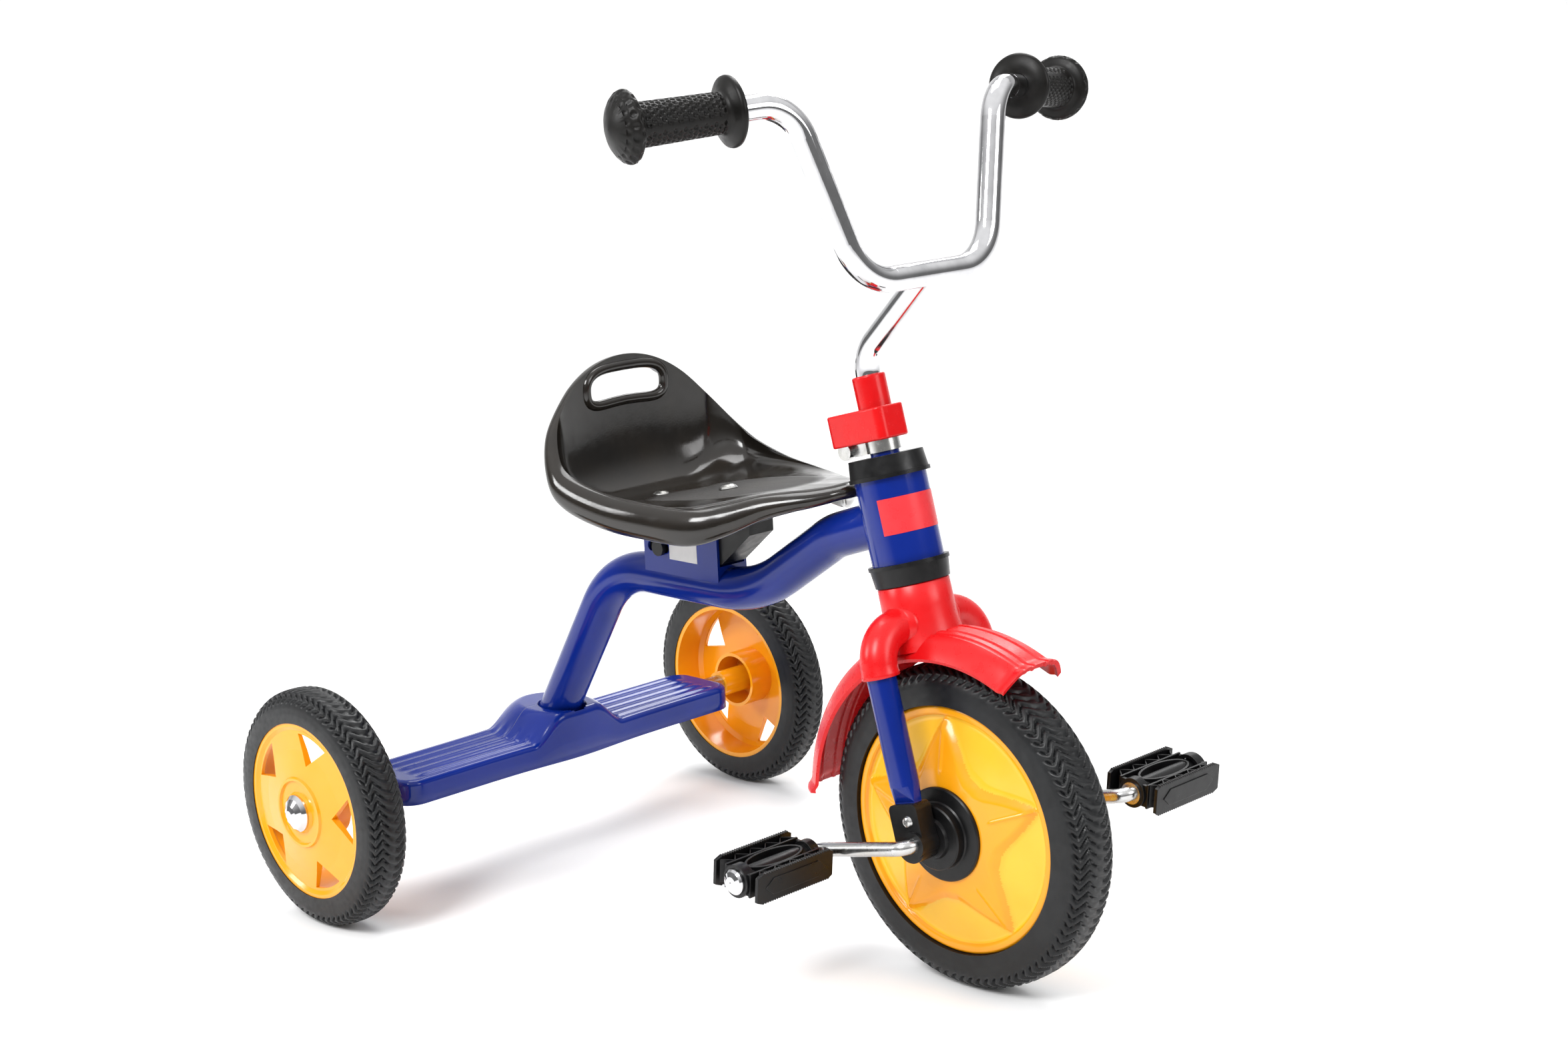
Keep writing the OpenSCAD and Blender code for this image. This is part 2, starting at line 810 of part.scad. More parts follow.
// Opening between two spokes: a triangle with its point to the hub and a round base
module wheel_opening() {
    intersection() {
        circle(opening_out);
        polygon([
            [opening_in, 0], [opening_in + opening_out, -opening_out * opening_spread],
            [opening_in + opening_out, opening_out * opening_spread]
        ]);
    }
}

// Rear wheel with its outer face towards +Y
module rear_wheel_form() {
    seat = rear_seat_d / 2;
    half = rear_tyre_w / 2 - 1;
    w = wheel_wall;
    y_turned() polygon([
        [seat, -half], [seat, half], [seat - 3, half], [seat - 6, half - 2],
        [seat - 22, half], [rear_ring_r + 1, hub_outer_reach - 2], [rear_ring_r, hub_outer_reach],
        [rear_ring_r - 2, hub_outer_reach], [rear_ring_r - 3, hub_outer_reach - 2],
        [cap_r + 2, hub_outer_reach - 2], [cap_r, hub_outer_reach],
        [rear_axle_r + running_gap, hub_outer_reach], [rear_axle_r + running_gap, -hub_inner_reach],
        [rear_hub_r, -hub_inner_reach], [rear_hub_r, hub_outer_reach - 4 - w],
        [rear_ring_r - 3 - w, hub_outer_reach - 4 - w], [rear_ring_r - 3 - w, -half + 8],
        [rear_ring_r - 3, -half + 8], [rear_ring_r - 3, hub_outer_reach - 6 - w],
        [seat - 22, half - 2 - w], [seat - rear_barrel - 3, half - 2 - w], [seat - rear_barrel, half - 6 - w],
        [seat - rear_barrel, -half]
    ]);
}

module rear_wheel(side) {
    color(yellow) at_rear_axle() translate([0, side * track / 2, 0]) mirror([0, side < 0 ? 1 : 0, 0])
        difference() {
            rear_wheel_form();
            for (i = [0:rear_openings - 1]) rotate([0, -opening_angle - i * 360 / rear_openings, 0])
                y_plate(0, rear_tyre_w) wheel_opening();
        }
}

module rear_tyre(side) {
    at_rear_axle() translate([0, side * track / 2, 0])
        tyre(rear_r, rear_seat_d / 2, rear_tyre_w / 2);
}

module rear_wheel_left() { rear_wheel(1); }
module rear_wheel_right() { rear_wheel(-1); }
module rear_tyre_left() { rear_tyre(1); }
module rear_tyre_right() { rear_tyre(-1); }

// One half of the closed front wheel, on the +Y side
module front_half_form() {
    seat = front_seat_d / 2;
    half = front_tyre_w / 2 - 3;
    w = wheel_wall;
    hub = 15;
    y_turned() polygon([
        [seat, 0], [seat, half], [seat - 2, half + 0.5], [seat - 5, half + 0.5],
        [seat - 12, half + 1.5], [seat - 30, half + 5.5], [flange_r + 2, flange_y], [crank_rod_r, flange_y],
        [crank_rod_r, 0], [hub, 0], [hub, flange_y - w], [flange_r + 2, flange_y - w],
        [seat - 30, half + 5.5 - w], [seat - 12, half + 1.5 - w], [seat - 4, half - w], [seat - 4, 0]
    ]);
}

module front_wheel_half_left() {
    color(yellow) at_front_axle() front_half_form();
}

module front_wheel_half_right() {
    color(yellow) at_front_axle() mirror([0, 1, 0]) front_half_form();
}

module front_tyre() {
    at_front_axle() tyre(front_r, front_seat_d / 2, front_tyre_w / 2);
}

module hub_flange() {
    y_turned() polygon([
        [crank_rod_r, flange_y], [flange_r, flange_y], [flange_r, flange_y + flange_t - 1],
        [flange_r - 1, flange_y + flange_t], [flange_step_r + 1, flange_y + flange_t + 1],
        [flange_step_r, flange_y + flange_t + 2], [flange_step_r, flange_out - 4],
        [flange_step_r - 1, flange_out - 3], [16, flange_out - 3], [15, flange_out], [crank_rod_r, flange_out]
    ]);
}

module hub_flange_left() {
    color(black) at_front_axle() hub_flange();
}

module hub_flange_right() {
    color(black) at_front_axle() mirror([0, 1, 0]) hub_flange();
}

// ---------------------------------------------------------------- fork

leg_top_y = fork_half - shoulder_r;
fork_wall = fork_r - bar_r - running_gap;

module steerer_tube() {
    color(blue) steering() difference() {
        translate([0, 0, crown_s]) linear_extrude(steerer_top - crown_s) ring_2d(fork_r, bar_r + running_gap);
        y_rod_s(fork_r + running_gap, -2 * fork_r, 2 * fork_r, crown_s);
        translate([-2 * fork_r, -steerer_slit / 2, band_s - slit_below])
            cube([2 * fork_r, steerer_slit, band_h + slit_below]);
    }
}

// Rod along Y in the steering frame, at distance s along the axis
module y_rod_s(r, y1, y2, s) {
    translate([0, 0, s]) y_rod(r, y1, y2);
}

function leg_path(side) = [
    [0, 0, crown_s], [0, side * fork_half, crown_s], [0, side * fork_half, leg_foot_s]
];

module fork_leg(side) {
    color(blue) steering() difference() {
        union() {
            bent_tube(leg_path(side), [shoulder_r], fork_r, fork_r - fork_wall);
            hull() {
                translate([0, side * fork_half, leg_foot_s - 1]) cylinder(h = 1, r = fork_r, $fn = soft_fn);
                translate([-tongue_w / 2, side * fork_half - tongue_t / 2, tongue_top_s])
                    cube([tongue_w, tongue_t, 1]);
            }
            translate([-tongue_w / 2, side * fork_half - tongue_t / 2, tongue_foot_s])
                cube([tongue_w, tongue_t, tongue_top_s - tongue_foot_s + 1]);
        }
        translate([screw_x, 0, screw_s]) y_rod(screw_r, side > 0 ? 0 : -track, side > 0 ? track : 0);
    }
}

module fork_leg_left() { fork_leg(1); }
module fork_leg_right() { fork_leg(-1); }

module axle_bracket(side) {
    color(black) steering() mirror([0, side < 0 ? 1 : 0, 0]) difference() {
        union() {
            y_plate(bracket_in, bracket_out) {
                translate([0, axle_s]) circle(bracket_half_w);
                translate([-bracket_half_w, axle_s]) square([2 * bracket_half_w, bracket_top_s - axle_s - 5]);
                translate([-bracket_half_w + 5, axle_s]) square([2 * bracket_half_w - 10, bracket_top_s - axle_s]);
                for (x = [-1, 1]) translate([x * (bracket_half_w - 5), bracket_top_s - 5]) circle(5);
            }
            translate([axle_offset, 0, axle_s]) y_rod(boss_r, bracket_in, boss_out);
        }
        translate([axle_offset, 0, axle_s]) y_rod(crank_rod_r + running_gap, 0, track);
        translate([-tongue_w / 2, fork_half - tongue_t / 2, tongue_foot_s])
            cube([tongue_w, tongue_t, bracket_top_s]);
        translate([screw_x, 0, screw_s]) y_rod(screw_r, 0, track);
    }
}

module axle_bracket_left() { axle_bracket(1); }
module axle_bracket_right() { axle_bracket(-1); }

module bracket_screws() {
    for (side = [-1, 1]) color(steel) steering() mirror([0, side < 0 ? 1 : 0, 0])
        translate([screw_x, 0, screw_s]) {
            y_rod(screw_r, bracket_in + 2, bracket_out);
            translate([0, bracket_out, 0]) y_turned() polygon([
                [0, 0], [screw_head_r, 0], [screw_head_r - 1, screw_head_h - 0.7],
                [screw_head_r - 2.5, screw_head_h], [0, screw_head_h]
            ]);
        }
}

// ---------------------------------------------------------------- mudguard

sleeve_r = fork_r + gap + guard_t;
sleeve_foot_s = 252;
collar_wall = guard_t;
guard_collar_r = head_d / 2;
collar_foot_s = crown_s - 20;

// Half section of the guard: [radius, half width], outer skin from the crown to the edge
guard_skin = [
    [0, 0], [0, 6], [-1, 7.5], [-1, 9], [0, 10.5], [-0.5, 15],
    [-3, 20], [-8, 25], [-16.5, guard_w / 2]
];
guard_n = len(guard_skin);

module guard_section() {
    outer = concat(
        [for (i = [guard_n - 1:-1:1]) [guard_r + guard_skin[i][0], -guard_skin[i][1]]],
        [for (i = [0:guard_n - 1]) [guard_r + guard_skin[i][0], guard_skin[i][1]]]
    );
    inner = [for (i = [len(outer) - 1:-1:0]) [outer[i][0] - guard_t - 0.3, outer[i][1] * (1 - guard_t / guard_w)]];
    polygon(concat(outer, inner));
}

// Strip of the guard between two angles from the forward direction
module guard_arc(from, to) {
    rotate([90, 0, 0]) rotate([0, 0, from]) rotate_extrude(angle = to - from) guard_section();
}

lip_len = 3;

module guard_lip(angle) {
    rotate([90, 0, 0]) rotate([0, 0, angle]) rotate_extrude(angle = lip_len) difference() {
        translate([guard_r - 5, -guard_w / 2 + 5]) square([7, guard_w - 10]);
        translate([guard_r - 6, -guard_w / 2 - cut]) square([3, guard_w + 2 * cut]);
    }
}

// Rod bent like the fork crown, down to foot_s on both sides
module crown_tube(foot_s, r) {
    bent_tube([
        [0, -fork_half, foot_s], [0, -fork_half, crown_s], [0, fork_half, crown_s], [0, fork_half, foot_s]
    ], [shoulder_r, shoulder_r], r);
}

module mudguard() {
    color(red) difference() {
        union() {
            at_front_axle() {
                guard_arc(guard_front, guard_rear);
                guard_lip(guard_front);
                guard_lip(guard_rear - lip_len);
            }
            steering() {
                difference() {
                    translate([0, 0, collar_foot_s]) cylinder(h = guard_top_s - collar_foot_s, r = guard_collar_r);
                    translate([0, 0, collar_foot_s - cut])
                        cylinder(h = guard_top_s - collar_foot_s + cut - collar_wall, r = guard_collar_r - collar_wall);
                }
                crown_tube(sleeve_foot_s, sleeve_r);
            }
        }
        steering() {
            crown_tube(leg_foot_s, fork_r + gap);
            translate([0, 0, crown_s]) cylinder(h = guard_top_s - crown_s + cut, r = fork_r + 2 * gap);
        }
    }
}

// ---------------------------------------------------------------- clamp

module ear_block(y1, y2) {
    translate([-ear_end, y1, band_s]) cube([ear_end - fork_r, y2 - y1, 11]);
}

module clamp_band() {
    color(steel) steering() difference() {
        union() {
            translate([0, 0, band_s]) cylinder(h = band_h, r = band_r);
            ear_block(-ear_slit / 2 - ear_t, -ear_slit / 2);
            ear_block(ear_slit / 2, ear_slit / 2 + ear_t);
        }
        translate([0, 0, band_s - cut]) cylinder(h = band_h + 2 * cut, r = fork_r);
        translate([-2 * ear_end, -ear_slit / 2, band_s - cut]) cube([2 * ear_end, ear_slit, band_h + 2 * cut]);
        translate([-ear_x, 0, clamp_bolt_s]) y_rod(clamp_bolt_r, -20, 20);
    }
}

module clamp_bolt() {
    reach = ear_slit / 2 + ear_t;
    color(steel) steering() translate([-ear_x, 0, clamp_bolt_s]) {
        y_rod(clamp_bolt_r, -reach, reach + nut_h);
        translate([0, -reach - nut_h, 0]) rotate([-90, 0, 0]) cylinder(h = nut_h, r = nut_r);
    }
}

module clamp_nut() {
    reach = ear_slit / 2 + ear_t;
    color(steel) steering() translate([-ear_x, 0, clamp_bolt_s]) difference() {
        translate([0, reach, 0]) rotate([-90, 0, 0]) cylinder(h = nut_h, r = nut_r, $fn = 6);
        y_rod(clamp_bolt_r, 0, 30);
    }
}

module cover_plan(inset) {
    l = cover_back + cover_front - 2 * inset;
    w = 2 * cover_half - 2 * inset;
    translate([(cover_front - cover_back) / 2, 0]) rounded_rect(l, w, cover_corner - inset);
}

module clamp_cover() {
    color(red) steering() difference() {
        union() {
            translate([0, 0, cover_s]) linear_extrude(cover_h) cover_plan(0);
            translate([0, 0, cover_s + cover_h]) cylinder(h = collar_h, r = collar_r);
        }
        translate([0, 0, cover_s - cut]) linear_extrude(cover_h - cover_t + cut) cover_plan(cover_t);
        translate([0, 0, cover_s]) cylinder(h = cover_h + collar_h + cut, r = bar_r + collar_gap);
    }
}

// ---------------------------------------------------------------- handlebar

module handlebar_stem() {
    color(steel) steering() difference() {
        bent_tube([[0, 0, stem_foot_s], [0, 0, stem_bend_s], [bar_reach, 0, bar_s]],
            [stem_bend_r], bar_r, bar_r - bar_wall);
        translate([bar_reach, 0, bar_s]) y_rod(bar_r, -2 * bar_d, 2 * bar_d);
    }
}

// Path of one side of the handlebar, in the steering frame
grip_dir = [-sin(bar_sweep), cos(bar_sweep), 0];
bar_corner = [bar_reach + bar_lean, bar_top_half, bar_s + bar_rise];
bar_tip = bar_corner + grip_dir * (bar_half - bar_top_half - grip_end_t) / cos(bar_sweep);

function mirror_y(p) = [p[0], -p[1], p[2]];
bar_path = [
    mirror_y(bar_tip), mirror_y(bar_corner), [bar_reach, -bar_low_half, bar_s],
    [bar_reach, bar_low_half, bar_s], bar_corner, bar_tip
];

module handlebar() {
    color(steel) steering()
        bent_tube(bar_path, [bar_top_bend, bar_low_bend, bar_low_bend, bar_top_bend], bar_r, bar_r - bar_wall);
}

grip_start = 3;
grip_profile = [
    [bar_r, 0], [18, 0], [grip_flange_r - 1, 3], [grip_flange_r, 5], [grip_flange_r - 1, 7], [18, 10],
    [grip_neck_r, 12], [grip_r - 0.5, 60], [grip_r, 76], [17, 78], [grip_flange_r - 1, 80],
    [grip_flange_r, 82.5], [grip_flange_r - 1.5, 86], [20, 90.5], [14, 94], [7, 95.6], [0, grip_len],
    [0, grip_len - grip_end_t], [bar_r, grip_len - grip_end_t]
];

module grip(side) {
    foot = bar_tip - grip_dir * (grip_len - grip_end_t);
    color(rubber) mirror([0, side < 0 ? 1 : 0, 0]) steering()
        multmatrix(place([0, 0, 1], cross(grip_dir, [0, 0, 1]), grip_dir, foot))
            rotate_extrude() polygon(grip_profile);
}

module grip_left() { grip(1); }
module grip_right() { grip(-1); }

// ---------------------------------------------------------------- cranks and pedals

crank_end = pedal_out + 3;

module crank_axle() {
    color(steel) crank_frame() bent_tube([
        [-crank_r, crank_end, 0], [-crank_r, crank_out_y, 0], [0, crank_in_y, 0],
        [0, -crank_in_y, 0], [crank_r, -crank_out_y, 0], [crank_r, -crank_end, 0]
    ], [crank_bend, crank_bend, crank_bend, crank_bend], crank_rod_r);
}

module pedal_washers() {
    washer_t = 1.2;
    color(steel) crank_frame() for (side = [-1, 1]) translate([-side * crank_r, 0, 0])
        mirror([0, side < 0 ? 1 : 0, 0]) difference() {
            y_rod(washer_r, pedal_in - gap - washer_t + 0.2, pedal_in - gap + 0.2);
            y_rod(crank_rod_r, 0, track);
        }
}

module pedal_caps() {
    color(steel) crank_frame() for (side = [-1, 1]) translate([-side * crank_r, 0, 0])
        mirror([0, side < 0 ? 1 : 0, 0]) difference() {
            translate([0, pedal_out + gap, 0]) y_turned() polygon([
                [0, 0], [pedal_cap_r, 0], [pedal_cap_r, 1.5], [pedal_cap_r - 1.5, 3.2],
                [pedal_cap_r - 5, 4.6], [0, pedal_cap_h]
            ]);
            y_rod(crank_rod_r, 0, crank_end);
        }
}

// Pedal body: two plates, two end walls and a barrel round the axle
module pedal_form() {
    inner_x = pedal_w / 2 - pedal_plate;
    difference() {
        union() {
            for (side = [-1, 1]) translate([side * (inner_x + pedal_plate / 2), (pedal_in + pedal_out) / 2, 0])
                cube([pedal_plate, pedal_len, pedal_h], center = true);
            for (y = [pedal_in, pedal_out - pedal_wall])
                translate([-inner_x, y, -pedal_h / 2 + 2]) cube([2 * inner_x, pedal_wall, pedal_h - 4]);
            y_rod(pedal_barrel_r, pedal_in, pedal_out);
        }
        y_rod(crank_rod_r + running_gap, 0, track);
        y_rod(bush_r, pedal_in - cut, pedal_in + bush_t);
    }
}

module pedal(side) {
    color(black) pedal_frame(side) mirror([0, side < 0 ? 1 : 0, 0]) pedal_form();
}

module pedal_bush(side) {
    color(cream) pedal_frame(side) mirror([0, side < 0 ? 1 : 0, 0]) difference() {
        y_rod(bush_r, pedal_in, pedal_in + bush_t);
        y_rod(crank_rod_r + running_gap, 0, track);
    }
}

module pedal_left() { pedal(1); }
module pedal_right() { pedal(-1); }
module pedal_bush_left() { pedal_bush(1); }
module pedal_bush_right() { pedal_bush(-1); }

spine_tube();
head_tube();
head_badge();
seat_bracket();
bracket_label();
rear_deck();
rear_axle();
axle_spacers();
axle_caps();
head_cup_top();
head_cup_bottom();
seat_shell();
seat_mount_block();
seat_bolts();
seat_cross_bolt();
seat_cross_nut();
rear_wheel_left();
rear_tyre_left();
rear_wheel_right();
rear_tyre_right();
steerer_tube();
fork_leg_left();
fork_leg_right();
mudguard();
clamp_band();
clamp_bolt();
clamp_nut();
clamp_cover();
axle_bracket_left();
axle_bracket_right();
bracket_screws();
handlebar_stem();
handlebar();
grip_left();
grip_right();
front_wheel_half_left();
front_wheel_half_right();
front_tyre();
hub_flange_left();
hub_flange_right();
crank_axle();
pedal_washers();
pedal_caps();
pedal_left();
pedal_right();
pedal_bush_left();
pedal_bush_right();
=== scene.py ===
"""Children's tricycle: relief, finishes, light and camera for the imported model."""

import json
import logging
import math
from dataclasses import dataclass, field
from enum import Enum
from typing import Any, Sequence

import bmesh
import bpy
from mathutils import Matrix, Vector
from mathutils.bvhtree import BVHTree


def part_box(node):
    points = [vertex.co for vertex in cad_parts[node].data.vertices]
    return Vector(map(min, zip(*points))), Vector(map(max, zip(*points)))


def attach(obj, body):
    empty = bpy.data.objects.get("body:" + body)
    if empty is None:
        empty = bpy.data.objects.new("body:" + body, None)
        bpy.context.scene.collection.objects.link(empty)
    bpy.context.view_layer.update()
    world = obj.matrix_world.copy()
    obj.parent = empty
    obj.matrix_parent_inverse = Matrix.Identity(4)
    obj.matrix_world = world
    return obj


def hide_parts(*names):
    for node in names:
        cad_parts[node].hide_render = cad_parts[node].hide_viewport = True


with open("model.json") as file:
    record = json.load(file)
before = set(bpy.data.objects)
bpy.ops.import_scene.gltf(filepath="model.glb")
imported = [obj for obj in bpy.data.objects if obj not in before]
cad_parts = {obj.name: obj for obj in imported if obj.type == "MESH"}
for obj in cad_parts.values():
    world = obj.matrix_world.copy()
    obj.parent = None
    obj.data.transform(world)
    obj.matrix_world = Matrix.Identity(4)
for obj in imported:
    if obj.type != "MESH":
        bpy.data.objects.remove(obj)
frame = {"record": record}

log = logging.getLogger("tricycle")
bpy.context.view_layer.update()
MM = 0.001


# ------------------------------------------------------------------ small tools


class Side(Enum):
    """Left or right, with the sign of its place across the tricycle."""

    LEFT = 1
    RIGHT = -1

    @property
    def word(self) -> str:
        """The side as the pieces' names have it."""
        return self.name.lower()


def linear(code: str) -> tuple[float, float, float, float]:
    """Turns an sRGB hex colour into a linear one.

    Args:
        code: Colour such as "#1c3f99".

    Returns:
        Linear red, green, blue and an alpha of one.
    """
    parts = [int(code[i : i + 2], 16) / 255 for i in (1, 3, 5)]
    r, g, b = (v / 12.92 if v <= 0.04045 else ((v + 0.055) / 1.055) ** 2.4 for v in parts)
    return r, g, b, 1.0


def add_node(tree: bpy.types.NodeTree, kind: str, settings: dict[str | int, Any] | None = None,
             **links: Any) -> bpy.types.Node:
    """Adds one shader node.

    Args:
        tree: Node tree that gets the node.
        kind: Node type, such as "ShaderNodeTexNoise".
        settings: Values by input name or number, or by attribute name.
        links: Output sockets to link, by input name with spaces as underscores;
            "in0", "in1" and so on link an input by its number.

    Returns:
        The new node.
    """
    node = tree.nodes.new(kind)
    for key, value in (settings or {}).items():
        if isinstance(key, int) or key in node.inputs:
            node.inputs[key].default_value = value
        else:
            setattr(node, key, value)
    for key, socket in links.items():
        numbered = key[:2] == "in" and key[2:].isdigit()
        target = node.inputs[int(key[2:]) if numbered else key.replace("_", " ")]
        tree.links.new(socket, target)
    return node


def smooth_step(low: float, high: float, value: float) -> float:
    """Rises smoothly from 0 at low to 1 at high."""
    t = min(1.0, max(0.0, (value - low) / (high - low)))
    return t * t * (3 - 2 * t)


def interpolate(table: Sequence[tuple[float, float]], x: float) -> float:
    """Reads a table by straight lines between its points.

    Args:
        table: Pairs of x and value, with x rising.
        x: Where it is read.

    Returns:
        The value there, which beyond an end is that end's.
    """
    if x <= table[0][0]:
        return table[0][1]
    for (x0, y0), (x1, y1) in zip(table, table[1:]):
        if x <= x1:
            return y0 + (y1 - y0) * (x - x0) / (x1 - x0)
    return table[-1][1]


def centre_of(node: str) -> Vector:
    """Middle of a CAD node's box, in metres."""
    low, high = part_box(node)
    return (Vector(low) + Vector(high)) / 2


def find_joint(name: str) -> dict[str, Any]:
    """The joint of that name in the model's record."""
    return next(joint for joint in frame["record"]["behaviour"]["joints"] if joint["name"] == name)


def steering_place() -> Matrix:
    """Where the steering axis's own frame lies: Z up the axis from the ground, X forwards.

    Returns:
        The frame's place in the model.
    """
    joint = find_joint("steering")
    lean = math.atan2(joint["axis"][0], joint["axis"][2])
    return Matrix.Translation(joint["pos_m"]) @ Matrix.Rotation(lean, 4, "Y")


def make_mesh(name: str, points: list[Vector], faces: list[tuple[int, ...]], smooth: bool = True,
              crease_deg: float = 40.0) -> bpy.types.Object:
    """Makes an object from points and faces.

    Args:
        name: Name of the object.
        points: Corners in metres.
        faces: Corner numbers of each face.
        smooth: Whether the faces are shaded smooth.
        crease_deg: Edges sharper than this stay sharp.

    Returns:
        The new object, linked to the scene.
    """
    mesh = bpy.data.meshes.new(name)
    mesh.from_pydata([tuple(p) for p in points], [], faces)
    mesh.validate()
    piece = bpy.data.objects.new(name, mesh)
    bpy.context.scene.collection.objects.link(piece)
    if smooth:
        mesh.shade_smooth()
        mesh.set_sharp_from_angle(angle=math.radians(crease_deg))
    return piece


def grid_faces(rows: int, columns: int, wrap_rows: bool, wrap_columns: bool,
               start: int = 0) -> list[tuple[int, ...]]:
    """Faces of a grid of points stored row by row.

    Args:
        rows: Number of rows.
        columns: Number of points in a row.
        wrap_rows: Whether the last row joins the first.
        wrap_columns: Whether the last point of a row joins its first.
        start: Number of the first point.

    Returns:
        Four-sided faces.
    """
    faces = []
    for i in range(rows if wrap_rows else rows - 1):
        for k in range(columns if wrap_columns else columns - 1):
            a, b = i * columns, (i + 1) % rows * columns
            j = (k + 1) % columns
            faces.append((start + a + k, start + a + j, start + b + j, start + b + k))
    return faces


CORNER_SIGNS = ((1, 1), (-1, 1), (-1, -1), (1, -1))


# ------------------------------------------------------------------ finishes


class Patches(Enum):
    """Soft patches that vary a finish: fineness of the cloud, and its levels for the least and the most."""

    COLOUR = (3.0, 0.35, 0.7)
    ROUGHNESS = (4.0, 0.3, 0.7)


def add_cloud(tree: bpy.types.NodeTree, place: bpy.types.NodeSocket, size_mm: float,
              detail: float) -> bpy.types.NodeSocket:
    """Adds a cloud of soft patches.

    Args:
        tree: Node tree of the material.
        place: Place on the object, in metres.
        size_mm: Size of the patches.
        detail: Fineness of the cloud.

    Returns:
        Its level, from 0 to 1.
    """
    settings = {"Scale": 1 / (size_mm * MM), "Detail": detail}
    return add_node(tree, "ShaderNodeTexNoise", settings, Vector=place).outputs[0]


def add_patches(tree: bpy.types.NodeTree, place: bpy.types.NodeSocket, kind: Patches, size_mm: float,
                span: tuple[float, float]) -> bpy.types.NodeSocket:
    """Adds patches that run between two values.

    Args:
        tree: Node tree of the material.
        place: Place on the object, in metres.
        kind: What the patches vary.
        size_mm: Size of the patches.
        span: The least and the greatest value.

    Returns:
        The value.
    """
    detail, low, high = kind.value
    settings = {"From Min": low, "From Max": high, "To Min": span[0], "To Max": span[1]}
    cloud = add_cloud(tree, place, size_mm, detail)
    return add_node(tree, "ShaderNodeMapRange", settings, Value=cloud).outputs[0]


@dataclass(frozen=True)
class Finish:
    """A surface finish that makes one material: patches of shade and of roughness under a fine grain.

    The share is the most that the shade takes of the colour. A finish whose two roughnesses are alike has no
    patches of roughness.
    """

    name: str
    colour: str
    shade: str
    share: float = 0.3
    patch_mm: float = 25.0
    roughness: tuple[float, float] = (0.22, 0.34)
    rough_mm: float = 8.0
    grain_mm: float = 0.9
    grain_detail: float = 2.0
    grain_depth_mm: float = 0.008
    grain_strength: float = 0.5
    shine: float = 0.5
    refraction: float = 1.5
    metallic: float = 0.0

    def material(self) -> bpy.types.Material:
        """Makes the material once, and gives the same one after that.

        Returns:
            The material.
        """
        made = bpy.data.materials.get(self.name)
        if made is None:
            made = bpy.data.materials.new(self.name)
            made.use_nodes = True
            made.diffuse_color = linear(self.colour)
            tree = made.node_tree
            tree.nodes.clear()
            shader = add_node(tree, "ShaderNodeBsdfPrincipled", {
                "Base Color": linear(self.colour), "Metallic": self.metallic, "IOR": self.refraction,
                "Specular IOR Level": self.shine})
            add_node(tree, "ShaderNodeOutputMaterial", Surface=shader.outputs[0])
            self.dress(tree, shader, add_node(tree, "ShaderNodeTexCoord").outputs["Object"])
        return made

    def dress(self, tree: bpy.types.NodeTree, shader: bpy.types.Node, place: bpy.types.NodeSocket) -> None:
        """Adds the patches and the grain.

        Args:
            tree: Node tree of the material.
            shader: The main shader node.
            place: Place on the object, in metres.
        """
        colours = {"data_type": "RGBA", 6: linear(self.colour), 7: linear(self.shade)}
        patches = add_patches(tree, place, Patches.COLOUR, self.patch_mm, (0.0, self.share))
        mix = add_node(tree, "ShaderNodeMix", colours, in0=patches)
        tree.links.new(mix.outputs[2], shader.inputs["Base Color"])
        if self.roughness[0] < self.roughness[1]:
            rough = add_patches(tree, place, Patches.ROUGHNESS, self.rough_mm, self.roughness)
            tree.links.new(rough, shader.inputs["Roughness"])
        else:
            shader.inputs["Roughness"].default_value = self.roughness[0]
        grain = add_cloud(tree, place, self.grain_mm, self.grain_detail)
        depth = {"Distance": self.grain_depth_mm * MM, "Strength": self.grain_strength}
        bump = add_node(tree, "ShaderNodeBump", depth, Height=grain)
        tree.links.new(bump.outputs[0], shader.inputs["Normal"])


@dataclass(frozen=True)
class PowderCoat(Finish):
    """Sprayed and baked powder on steel: a hard gloss with a faint orange peel."""

    share: float = 0.5
    patch_mm: float = 60.0
    roughness: tuple[float, float] = (0.13, 0.13)
    grain_mm: float = 2.2
    grain_detail: float = 1.0
    grain_depth_mm: float = 0.03
    grain_strength: float = 0.35
    shine: float = 0.34


@dataclass(frozen=True)
class MouldedPlastic(Finish):
    """Moulded plastic, with flow marks and the mould's fine grain."""

    shine: float = 0.4
    refraction: float = 1.49


